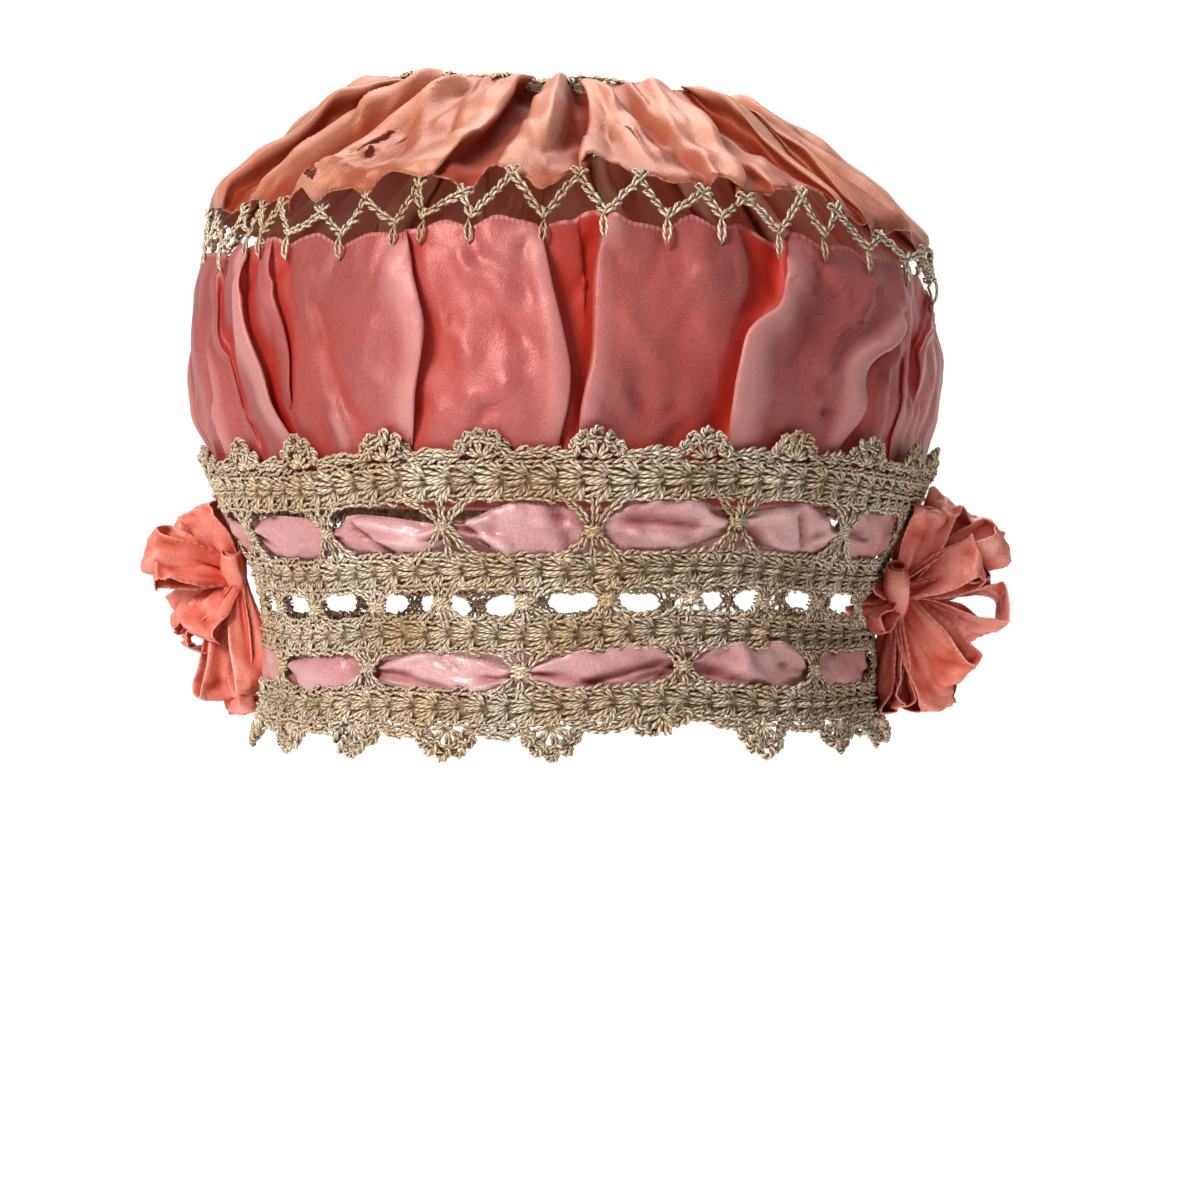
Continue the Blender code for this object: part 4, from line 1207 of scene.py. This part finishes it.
def upper_place(turn, share, pleats, away, fade):
    """Where a point of the upper satin lies, and how deep in its folds."""
    foot = UPPER_FOOT_Z + hem_at(UPPER_HEM, turn) + 0.8 * noise.noise(Vector((turn * 0.7, 3.1, 0.4)))
    z = foot + (UPPER_TOP_Z - foot) * (1 - (1 - share) ** 1.35)
    level = UPPER_FOOT_Z + UPPER_RISE * (1 - (1 - share) ** 1.35)
    radius = sum(level_at(UPPER_LEVELS, z)) / 2
    flipped = []
    for pleat in pleats:
        if pleat[0] == "valley":
            pleat = ("ridge", -pleat[1], *pleat[2:])
        flipped.append(pleat)
    # The gathers crowd together towards the crown, so they are reckoned nearer the foot's radius there.
    shift, rise = pleat_moves(flipped, away, level, 0.45 * radius + 55, fade)
    where = Vector((math.sin(math.radians(turn)) * 2.4, math.cos(math.radians(turn)) * 2.4, share * 1.4))
    billow = 2.6 * noise.noise(where * 1.7 + Vector((9, 2, 4))) + 1.4 * noise.noise(where * 4.3)
    puff = -3.0 * math.sin(math.pi * share) ** 2
    billow += creased(UPPER_CREASES, turn, level, radius)
    out = (rise * (0.55 + 0.45 * ease(share * 4)) + billow + puff) * (1 - 0.35 * ease((share - 0.8) / 0.2))
    sunk = max(0.0, UPPER_FOOT_Z - z)
    base = spot(UPPER_LEVELS, turn + math.degrees(shift * 0.8 / radius), z, sunk * 0.25)
    slope = Vector((base.x * 0.62, base.y * 0.62, 0.05 + 0.075 * share)).normalized()
    # How deep in the folds: the satin paints shade from it, and a highlight where the cloth stands out.
    depth = min(1.0, max(-1.0, -(rise + 0.4 * billow) / 2.1))
    return base + slope * (out * MM), depth


upper_band = cloth_band(
    "upper_satin_band_cloth",
    UPPER_PLEATS + more_pleats(92, 256, UPPER_FOOT_Z, UPPER_TOP_Z, 43, 6),
    UPPER_FOOT_Z,
    UPPER_TOP_Z,
    40,
    upper_place,
    peach_satin,
    fade=6.0,
    torn=TEARS,
)
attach(upper_band, "root")
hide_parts("upper_satin_band")


# Zigzag chain: crochet chain that laces the two satin bands together. From each hole in the lower
# selvage a long stitch comes out, parts in two chains, and each goes up to a hole in the upper one.
def lower_edge(turn, z, out=0.0):
    """The lower satin's plain surface, where the chain is stitched in."""
    return spot(LOWER_LEVELS, turn, z, out)


def upper_edge(turn, z, out=0.0):
    """The upper satin's plain surface, where the chain is stitched in."""
    return spot(UPPER_LEVELS, turn, z, out)


def zigzag():
    """The chain's legs, and the long stitches that they part from."""
    luck = random.Random(51)
    lows, highs = list(LOWER_ATTACHED), list(UPPER_ATTACHED)
    span = 360 - (LOWER_ATTACHED[-1] - LOWER_ATTACHED[0])
    # The corners round the back are evenly spaced, give or take a little.
    for k in range(1, 22):
        lows.append(LOWER_ATTACHED[-1] + span * k / 22 + luck.uniform(-1.3, 1.3))
    for k in range(len(highs), len(lows)):
        after = lows[k + 1] if k + 1 < len(lows) else lows[0] + 360
        highs.append((lows[k] + after) / 2 + luck.uniform(-1.2, 1.2))
    lines, spots = [], []
    for k, low in enumerate(lows):
        z = LOWER_TOP_Z + hem_at(LOWER_HEM, low) - 1.1
        foot, _, up, within = seat(lower_edge, low, z, 0.6)
        fork = foot + up * 3.4 * MM - within * 0.3 * MM
        # The long stitch: two strands from the hole below the selvage up to the fork.
        spots.append((foot - up * 2.8 * MM - within * 0.4 * MM, up, within, 1.0))
        for high in (highs[k - 1] - (360 if k == 0 else 0), highs[k]):
            top_z = UPPER_FOOT_Z + hem_at(UPPER_HEM, high)
            top, _, _, top_within = seat(upper_edge, high, top_z, 0.9)
            end = top - Vector((0, 0, 1.5)) * MM
            line = []
            droop = luck.uniform(-0.9, 0.5) * MM
            for i in range(9):
                share = i / 8
                point = fork.lerp(end, share) + Vector((0, 0, droop * math.sin(math.pi * share)))
                line.append((point, within.lerp(top_within, share).normalized()))
            lines.append(line)
    long_stitch = []
    for kind in range(3):
        bow = luck.uniform(0.5, 0.8)
        up = [(0, 0.9, -0.5), (-bow, -0.2, 1.2), (-bow * 1.1, -0.5, 3.4)]
        path = [*up, (0, -0.2, 6.0), (bow * 1.1, -0.5, 3.4), (bow, -0.2, 1.2)]
        long_stitch.append(strands(f"long_stitch_{kind}", [(path, (0.4,), True)]))
    chain = {"Stitches": links, "Finish": cotton, "Pitch": 0.0023, "Seed": 12, "Wobble": 0.25}
    loops = {"Stitches": stock("long_stitch", long_stitch), "Finish": cotton, "Kinds": 3, "Seed": 13}
    return [
        stitched("legs", on_lines, guide("leg_guide", lines=lines), chain),
        stitched("loops", on_points, guide("loop_guide", spots=spots), loops),
    ]


zigzag_chain = piece("zigzag_chain_stitches", zigzag())
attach(zigzag_chain, "root")
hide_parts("zigzag_chain")


# Crown centre: a round of crochet that closes the cap. A ring of chain carries rounds of stitches out
# to a round of eyelets and on to an edge chain, which is caught to the gathers in a zigzag.
CROWN_EDGE_R = 52.2  # radii in plan
CROWN_CHAIN_R = 42.0
CROWN_ROUNDS = [5.0, 8.3, 11.6, 14.9, 18.2, 21.4, 28.8, 32.0, 35.3, 38.6, 41.8]
CROWN_EYELETS = 12
CROWN_ZIGZAGS = 19
CROWN_EDGE_Z = 178.4
CROWN_RISE = 3.0


def crown(turn, radius, out=0.0):
    """A point of the crown centre, which rises a little in its middle."""
    a = math.radians(turn)
    share = min(1.0, radius / CROWN_EDGE_R)
    stretch = 1 + 0.028 * math.cos(a) ** 2
    z = CROWN_EDGE_Z + CROWN_RISE * (1 - share * share)
    return lean(radius * math.sin(a), -radius * math.cos(a) * stretch, z + out)


def crown_line(path):
    """A line of (turn, radius, height above the cloth), faced with the crown's upper side out."""
    made = []
    for turn, radius, out in path:
        a = math.radians(turn)
        within = Vector((-0.2 * math.sin(a), 0.2 * math.cos(a), -1)).normalized()
        made.append((crown(turn, radius, out), within))
    return made


def crown_stitches():
    """The rounds, and over them the edge chain, its zigzag and the bars between the eyelets."""
    rounds, posts = [], []
    for radius in CROWN_ROUNDS:
        rounds.append(crown_line([(t * 5, radius, -1.0) for t in range(73)]))
    edge = []
    for t in range(241):
        turn = t * 1.5
        caught = abs(math.sin(math.radians(turn * CROWN_ZIGZAGS / 2)))
        wave = 0.7 * math.sin(math.radians(turn * 5 + 20)) + 0.5 * math.sin(math.radians(turn * 11))
        edge.append((turn, CROWN_EDGE_R - 0.8 * caught, 1.2 * wave - 1.0))
    posts.append(crown_line(edge))
    pitch = 360 / CROWN_ZIGZAGS
    for k in range(CROWN_ZIGZAGS):
        for side in (-1, 1):
            foot = (k + 0.5 * side) * pitch
            path = []
            for i in range(7):
                share = i / 6
                path.append((foot + (k * pitch - foot) * share, CROWN_CHAIN_R + 1 + 9.6 * share, -0.6))
            posts.append(crown_line(path))
    for k in range(CROWN_EYELETS):
        turn = k * 360 / CROWN_EYELETS
        for side in (-4, 0, 4):
            posts.append(crown_line([(turn + side, 22 + i, -1.0) for i in range(7)]))
    plain = {"Stitches": edge_links, "Finish": cotton, "Pitch": 0.0024, "Seed": 15, "Wobble": 0.25}
    plain["Size"] = 1.42
    drawn = {"Stitches": links, "Finish": cotton, "Pitch": 0.0022, "Seed": 16, "Wobble": 0.25}
    return [
        stitched("rounds", on_lines, guide("round_guide", lines=rounds), plain),
        stitched("posts", on_lines, guide("post_guide", lines=posts), drawn),
    ]


crown_centre = piece("crown_centre_stitches", crown_stitches())
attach(crown_centre, "root")
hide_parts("crown_centre")


# Threaded ribbons: pale pink satin ribbon, 12.7 mm wide, runs behind the knots of the upper and the
# lower row of openings. The knots pinch it and it puffs between them.
THREADED = [
    # name, node, middle height, knots round the head, turn of the first, seed
    ("upper_threaded_ribbon_cloth", "upper_threaded_ribbon", 58.8, 16, 4.5, 61),
    ("lower_threaded_ribbon_cloth", "lower_threaded_ribbon", 23.6, 13, -7.5, 62),
]
RIBBON_WIDTH = 12.7
RIBBON_RUN = 570.0
RIBBON_WALL = 0.35
# The ribbon's two edges in an opening, in millimetres from the middle height: rows of (share of the way
# from one knot to the next, low edge, top edge).
PUFFS = {
    "hooked": [
        (0, -2.6, 2.2), (0.1, -2.4, 0.8), (0.2, -4.4, 2.4), (0.35, -7, 5), (0.5, -8.2, 6.4),
        (0.7, -7.8, 6.2), (0.88, -6, 4.8), (1, -3.4, 3.2),
    ],
    "full": [
        (0, -3.6, 3), (0.1, -4.6, 4), (0.28, -6.4, 6.6), (0.5, -6.6, 7.2), (0.7, -6, 7), (0.9, -3.6, 2.6),
        (1, -3, 2),
    ],
    "square": [
        (0, -3.4, 2.6), (0.15, -5, 4), (0.5, -6.8, 6.4), (0.85, -6.8, 3.6), (0.95, -5.4, 1), (1, -3, 2),
    ],
    "rolled": [
        (0, -3.4, 2), (0.08, -4.4, 1.4), (0.3, -6.1, 4.8), (0.6, -6.8, 3), (0.85, -6.8, 1), (0.95, -5.4, 0),
        (1, -3.2, 1.6),
    ],
    "even": [(0, -3.6, 3.2), (0.2, -5.8, 4.6), (0.5, -6.8, 5.4), (0.8, -6.2, 4.8), (1, -3.4, 3.4)],
    "low": [(0, -3.2, 2.6), (0.13, -4.2, 2.4), (0.4, -6.6, 5), (0.8, -5.5, 3), (0.93, -4.4, 1), (1, -3, 2.4)],
    "climbing": [
        (0, -3.2, 2.4), (0.12, -3, 2), (0.25, -5, 4), (0.5, -6.2, 6), (0.72, -5.5, 6.4), (0.88, -3, 4),
        (1, -2.6, 2.8),
    ],
    "flat": [(0, -5, 5), (0.1, -6, 6), (0.3, -6.6, 6.4), (0.8, -6.4, 6.6), (1, -4, 4)],
    "broad": [
        (0, -3.4, 3), (0.14, -4.6, 3.6), (0.4, -6.2, 6.8), (0.74, -6.7, 7.4), (0.94, -3.6, 3), (1, -3, 2.6),
    ],
}
FRONT_PUFFS = {
    "upper_threaded_ribbon": {13: "even", 14: "rolled", 15: "hooked", 0: "full", 1: "square", 2: "flat"},
    "lower_threaded_ribbon": {11: "even", 12: "low", 0: "climbing", 1: "broad", 2: "flat"},
}
RIBBON_FOLDS = {
    # turn, height of both ends, half width and lift
    "upper_threaded_ribbon": [
        (-16, 60, -10.5, 51.5, 0.9, -1.6), (-15.2, 61, -8.6, 52.5, 1.3, 1.5), (-2, 65, 1, 54, 1.4, -0.9),
        (-35, 60.5, -28.5, 52, 0.9, -1.8), (-36, 63, -24, 57, 1.6, 1.4), (-33.5, 57, -22, 53.5, 1.2, 0.9),
        (6, 59, 14, 65, 1.2, 0.9), (9, 61, 21, 58.5, 1.5, -1.5), (10, 57, 19, 54, 1.4, 1.0),
        (25, 59, 18, 64, 1.2, 0.8), (28, 59, 38, 63, 1.2, 0.9), (30, 58, 34, 53, 1.5, -1.3),
        (39, 63, 42, 54.5, 1.0, -1.5), (44, 62, 47, 54, 1.4, 1.1),
    ],
    "lower_threaded_ribbon": [
        (-33.5, 24, -22, 28, 1.3, 1.1), (-33, 23, -20, 19, 1.2, -0.9), (-9, 22, -16, 19, 1.1, 1.1),
        (-26, 30, -18, 24, 1.0, -1.0), (-6, 24, 4, 29.5, 1.2, 1.0), (-5, 23, 9, 18.5, 1.2, -1.0),
        (18, 26, 9, 30, 1.1, 1.0), (4, 20, 17, 24.5, 1.1, -1.4), (22, 24, 30, 31, 1.4, 1.2),
        (24, 22, 37, 18.5, 1.2, -1.4), (46, 25, 38, 30.5, 1.2, 1.1), (30, 33, 33, 16, 2.2, 0.9),
    ],
}


def threaded(name, node, middle, count, first, seed):
    """One ribbon, once round the head: its two edges follow the puffs and its face follows the folds."""
    luck = random.Random(seed)
    step = 360 / count
    edges, folds = [], list(RIBBON_FOLDS[node])
    for k in range(count):
        kind = FRONT_PUFFS[node].get(k)
        rows = PUFFS[kind or luck.choice(list(PUFFS))]
        if not kind and luck.random() < 0.5:
            rows = [(1 - share, low, top) for share, low, top in reversed(rows)]
        edges.append(([(row[0], row[1]) for row in rows], [(row[0], row[2]) for row in rows]))
        # Small creases run out of each knot.
        for side in (-1, 1):
            knot = first + (k + (side < 0)) * step
            for _ in range(3):
                end = (knot + side * luck.uniform(3, 9), middle + luck.uniform(-5, 5))
                folds.append((knot, middle, *end, 0.9, luck.choice((-0.8, 0.8))))
    columns, rows = count * 32, 14
    points, depths, across = [], [], []
    for r in range(rows + 1):
        v = r / rows
        for c in range(columns):
            turn = first + 360 * c / columns
            cell = c * count / columns
            low, top = (0.95 * line_at(edge, cell % 1.0, 0.05) for edge in edges[int(cell) % count])
            puff = math.sin(math.pi * (cell % 1.0)) ** 0.62 if cell % 1.0 else 0.0
            # Where the ribbon is drawn together it folds lengthwise.
            crush = max(0.0, 1 - (top - low) / RIBBON_WIDTH)
            fold = crush * (0.9 * math.sin(v * 13 + seed) + 0.5 * math.sin(v * 24 + cell * 3))
            bow = 2.9 * puff * (1 - 1.8 * (v - 0.5) ** 2)
            bow += 1.5 * noise.noise(Vector((cell * 3, v * 1.5, seed)))
            bow += 0.9 * noise.noise(Vector((cell * 8 + v * 2, v * 2.4, seed + 3)))
            lift = creased(folds, turn, middle + low + (top - low) * v, 90)
            out = -3.4 + bow + fold + 1.9 * lift * (0.3 + 0.7 * puff)
            points.append(lace(turn, middle + low + (top - low) * v, min(out, -1.0 + 2.4 * puff) + 0.4))
            # Painted shade and highlight: the ribbon's colour deepens where the knots pinch it and in its
            # folds, and pales where it lifts.
            depths.append(min(1.0, max(-1.0, (1 - puff) * 0.6 - fold * 0.4 - lift * 0.6 - 0.2)))
            across.append(v)
    mesh = bpy.data.meshes.new(name)
    mesh.from_pydata(points, [], ring_faces(rows, columns))
    mark_folds(mesh, depths, across)
    layer = mesh.uv_layers.new(name="UVMap")
    for face in mesh.polygons:
        indices = [mesh.loops[k].vertex_index for k in face.loop_indices]
        closing = any(index % columns == columns - 1 for index in indices)
        for corner, index in zip(face.loop_indices, indices):
            c = index % columns
            wrap = columns if c == 0 and closing else 0
            run, width = (c + wrap) / columns * RIBBON_RUN, index // columns / rows * RIBBON_WIDTH
            layer.uv[corner].vector = (run * MM, width * MM)
    return cloth_piece(name, mesh, pink_ribbon, RIBBON_WALL)


# Colours: face, recess (painted shade in the folds), faded patches, and the highlight tint, also painted on
# crests and selvages.
pink_ribbon = satin("pale_pink_ribbon_satin", "#DCACAE", "#96443C", "#C88E8E", "#FFE4E4", 0.32, 0.045, 0.012)
for name, node, middle, count, first, seed in THREADED:
    made = threaded(name, node, middle, count, first, seed)
    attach(made, "root")
    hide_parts(node)


# Rosettes: coral satin ribbon of the same width, laid in loops and caught in a knot on the lace over
# each temple.
NECK = 0.5  # width of a ribbon where the knot draws it together, as a share of its full width
# Each loop's tip from the knot, in millimetres: to the right, up, and away from the front. Then the turn
# of its face away from the front, in degrees, and half its opening.
RIGHT_LOOPS = [
    (8.0, 23.0, -1.0, 32, 4.2),
    (18.0, 23.5, 5.0, -40, 5.6),
    (29.0, 16.5, 4.0, 34, 5.0),
    (24.0, 21.0, 11.0, -20, 3.6),
    (22.5, 7.5, -5.0, -26, 4.2),
    (25.5, 4.5, 2.0, 64, 2.4),
    (30.0, -5.0, 4.0, 74, 6.2),
    (17.0, -23.5, -2.0, 34, 4.6),
    (7.5, -33.0, 0.0, -32, 4.8),
    (-3.0, -33.5, 4.0, 66, 2.6),
    (1.5, -31.0, 1.0, 80, 2.2),
    (13.0, -30.0, 9.0, 30, 3.6),
    (-12.0, 3.0, -6.5, 48, 3.2),
    (-9.5, -8.5, -7.0, 52, 3.6),
    (22.0, -12.0, 13.0, 40, 3.6),
    (10.0, 16.0, 15.0, -50, 3.4),
]
LEFT_LOOPS = [
    (-9.0, 20.0, -3.0, -30, 4.4),
    (-4.0, 15.0, 8.0, -25, 3.4),
    (-24.0, 9.5, -4.0, -22, 4.2),
    (-22.0, 3.0, -7.0, 44, 1.8),
    (-17.0, 15.0, 6.0, 34, 4.2),
    (-10.5, -16.0, -6.0, 26, 4.0),
    (-12.0, -20.5, -1.0, 76, 3.8),
    (-5.0, -34.0, -3.0, -30, 4.2),
    (4.5, -38.0, -3.0, 36, 4.0),
    (7.0, -33.0, -8.0, -24, 3.4),
    (-19.0, -10.0, 10.0, 40, 3.6),
    (2.0, -26.0, 12.0, 30, 3.6),
]
ROSETTES = [
    # node, turn, height, stand off the lace, loops, how far in front of them the knot stands
    ("right_rosette", 75.0, 43.0, 4.9, RIGHT_LOOPS, 5.5),
    ("left_rosette", -86.0, 47.5, 4.5, LEFT_LOOPS, 0.5),
]


def fill_strip(work, rings):
    """Faces between the rows of points of one strip."""
    for near, far in zip(rings, rings[1:]):
        for j in range(len(near) - 1):
            work.faces.new((near[j], far[j], far[j + 1], near[j + 1]))


def loop_strip(work, ends, centre, tip, turned, half_open, luck):
    """One loop of ribbon: out from the knot, round, and back, drawn together in the knot."""
    direction, length = tip.normalized(), tip.length
    side = direction.cross(Vector((0, 1, 0))).normalized()
    side.rotate(Matrix.Rotation(math.radians(turned), 3, direction))
    away = direction.cross(side)
    curl, lean_over = luck.uniform(-0.22, 0.22), luck.uniform(-0.1, 0.1)
    start = luck.uniform(0, 9)
    steps, wide = 34, 10
    rings = []
    for i in range(steps + 1):
        share = i / steps
        reach = math.sin(math.pi * share)
        along = length * (1 - (1 - reach) ** 1.3)
        open_by = half_open * math.sin(2 * math.pi * share) * (0.35 + 0.65 * reach)
        width = RIBBON_WIDTH / 2 * (NECK + (1 - NECK) * ease(reach * 2.0)) * 0.97
        ring = []
        for j in range(wide + 1):
            v = -1 + 2 * j / wide
            gather = 0.9 * math.sin(v * 7 + start) + 0.5 * math.sin(v * 13 + share * 3)
            gather *= 1 - ease(reach * 1.3)
            dent = noise.noise(Vector((share * 6 + start, v * 1.2, start)))
            dent += 0.45 * noise.noise(Vector((share * 17 + start, v * 2.6, start + 4)))
            cup = 0.7 * (v * v - 0.4) * reach
            twist = curl * v * length * 0.08 * reach**2 - 0.5 * v * v * reach**6
            point = direction * (along + twist + 1.2 * dent * reach)
            point += away * (open_by + gather + cup + 3.2 * dent * reach)
            point += side * (width * v + lean_over * length * reach**2)
            ring.append(work.verts.new(centre + point * MM))
            shade = max(-1.0, 1 - ease(reach * 1.6) - 0.5 * gather - 1.2 * dent)
            run = share * 2 * length * MM
            ends.append((min(1.0, shade), j / wide, run, (v + 1) * RIBBON_WIDTH / 2 * MM))
        rings.append(ring)
    fill_strip(work, rings)


def rolled_bud(work, ends, centre):
    """The knot: ribbon rolled up on itself to an upright bud, drawn together at its foot."""
    steps, tall = 46, 12
    rings = []
    for i in range(steps + 1):
        a = math.radians(-110 + 500 * i / steps)
        spread = 2.0 + 2.5 * i / steps
        ring = []
        for j in range(tall + 1):
            v = -1 + 2 * j / tall
            belly = math.cos(v * 1.15 - 0.3) ** 0.8
            crease = 0.3 * math.sin(a * 3 + v * 4) * (1 - abs(v))
            point = Vector((math.sin(a), -math.cos(a) * 1.05, 0)) * (spread * belly + crease)
            tipped = 0.55 * ease(v + 0.2) * point.y
            point += Vector((-0.8 * v, -3.0 * v, v * 7.4 + tipped))
            ring.append(work.verts.new(centre + point * MM))
            hollow = 1.3 * ease(v * 2 - 0.6) * (i < steps * 0.62)
            shade = hollow + 0.6 * ease(-v * 3 - 1.6) - 0.9 * (1 - v * v)
            ends.append((shade, j / tall if j > 1 else 0.5, i / steps * 0.04, v * 0.0063))
        rings.append(ring)
    fill_strip(work, rings)


def rosette(name, turn, z, stand_off, loops, knot, seed):
    """One bunch: its loops from a centre on the lace, and the knot before them."""
    luck = random.Random(seed)
    a = math.radians(turn)
    outwards = Vector((math.sin(a), -math.cos(a), 0.0))
    centre = spot(LACE_LEVELS, turn, z) + outwards * stand_off * MM
    work, ends = bmesh.new(), []
    for across, up, behind, turned, half_open in loops:
        loop_strip(work, ends, centre, Vector((across, behind, up)), turned, half_open, luck)
    rolled_bud(work, ends, centre + Vector((0, -knot, 0)) * MM)
    mesh = bpy.data.meshes.new(name)
    work.to_mesh(mesh)
    work.free()
    mark_folds(mesh, [end[0] for end in ends], [end[1] for end in ends])
    layer = mesh.uv_layers.new(name="UVMap")
    for corner, loop in enumerate(mesh.loops):
        layer.uv[corner].vector = ends[loop.vertex_index][2:]
    return cloth_piece(name, mesh, coral_ribbon, RIBBON_WALL, 0.0)


# Colours: face, recess (painted shade near the knot and in hollows), faded patches, and the highlight tint,
# also painted where the loops stand out.
coral_ribbon = satin("coral_ribbon_satin", "#F89A8A", "#C84224", "#EC8472", "#FFDCD2", 0.38, 0.045, 0.012)
for seed, (node, turn, z, stand_off, loops, knot) in enumerate(ROSETTES):
    made = rosette(node + "_ribbon", turn, z, stand_off, loops, knot, 71 + seed)
    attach(made, "root")
    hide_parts(node)


# Floor and light: white paper that curves up behind the cap, a broad soft light from the front left and
# above, a weaker one overhead, and a light of its own for the paper.
FLOOR_Z = -0.30


def paper_sweep():
    """A sheet that lies flat, bends up behind and stands."""
    profile = [(-2.0, FLOOR_Z), (0.9, FLOOR_Z)]
    for k in range(1, 13):
        a = math.radians(90 * k / 12)
        profile.append((0.9 + 1.1 * math.sin(a), FLOOR_Z + 1.1 * (1 - math.cos(a))))
    profile.append((2.0, 3.4))
    points, faces = [], []
    for y, z in profile:
        points += [(-4, y, z), (4, y, z)]
    for k in range(len(profile) - 1):
        faces.append((2 * k, 2 * k + 1, 2 * k + 3, 2 * k + 2))
    mesh = bpy.data.meshes.new("paper_sweep")
    mesh.from_pydata(points, [], faces)
    mesh.shade_smooth()
    # Matt uncoated paper: no shine, so that the floor looks even.
    made = bpy.data.materials.new("matt_white_paper")
    made.use_nodes = True
    shader = made.node_tree.nodes["Principled BSDF"]
    shader.inputs["Base Color"].default_value = linear("#F7F6F5")
    shader.inputs["Roughness"].default_value = 0.9
    mesh.materials.append(made)
    sweep = piece("paper_sweep", [mesh])


def soft_light(name, place, aim, width, power, colour):
    """A square light of a given width, turned to face a point."""
    light = bpy.data.lights.new(name, "AREA")
    light.size = width
    light.energy = power
    light.color = linear(colour)[:3]
    made = bpy.data.objects.new(name, light)
    made.location = place
    made.rotation_euler = (Vector(aim) - Vector(place)).to_track_quat("-Z", "Y").to_euler()
    bpy.context.scene.collection.objects.link(made)


paper_sweep()
soft_light("window", (-0.72, -1.0, 0.78), (0, 0, 0.09), 0.42, 18, "#FFF8F2")
soft_light("overhead", (0.15, -0.1, 1.35), (0, 0, 0.1), 0.6, 3, "#FFFDFA")
soft_light("for_the_paper", (0, 0.95, 2.3), (0, 1.75, 0.1), 1.6, 50, "#FFFFFF")
world = bpy.context.scene.world or bpy.data.worlds.new("room")
bpy.context.scene.world = world
world.use_nodes = True
world.node_tree.nodes["Background"].inputs["Color"].default_value = linear("#FFFFFF")
world.node_tree.nodes["Background"].inputs["Strength"].default_value = 0.19
bpy.context.scene.view_settings.view_transform = "Standard"

camera = bpy.data.objects.new("camera", bpy.data.cameras.new("camera"))
camera.data.lens = 73.7
camera.data.sensor_width = 36
camera.data.clip_start = 0.01
camera.location = (0.0086, -0.70, 0.041)
camera.rotation_euler = (math.radians(90), 0, 0)
bpy.context.scene.collection.objects.link(camera)
bpy.context.scene.camera = camera
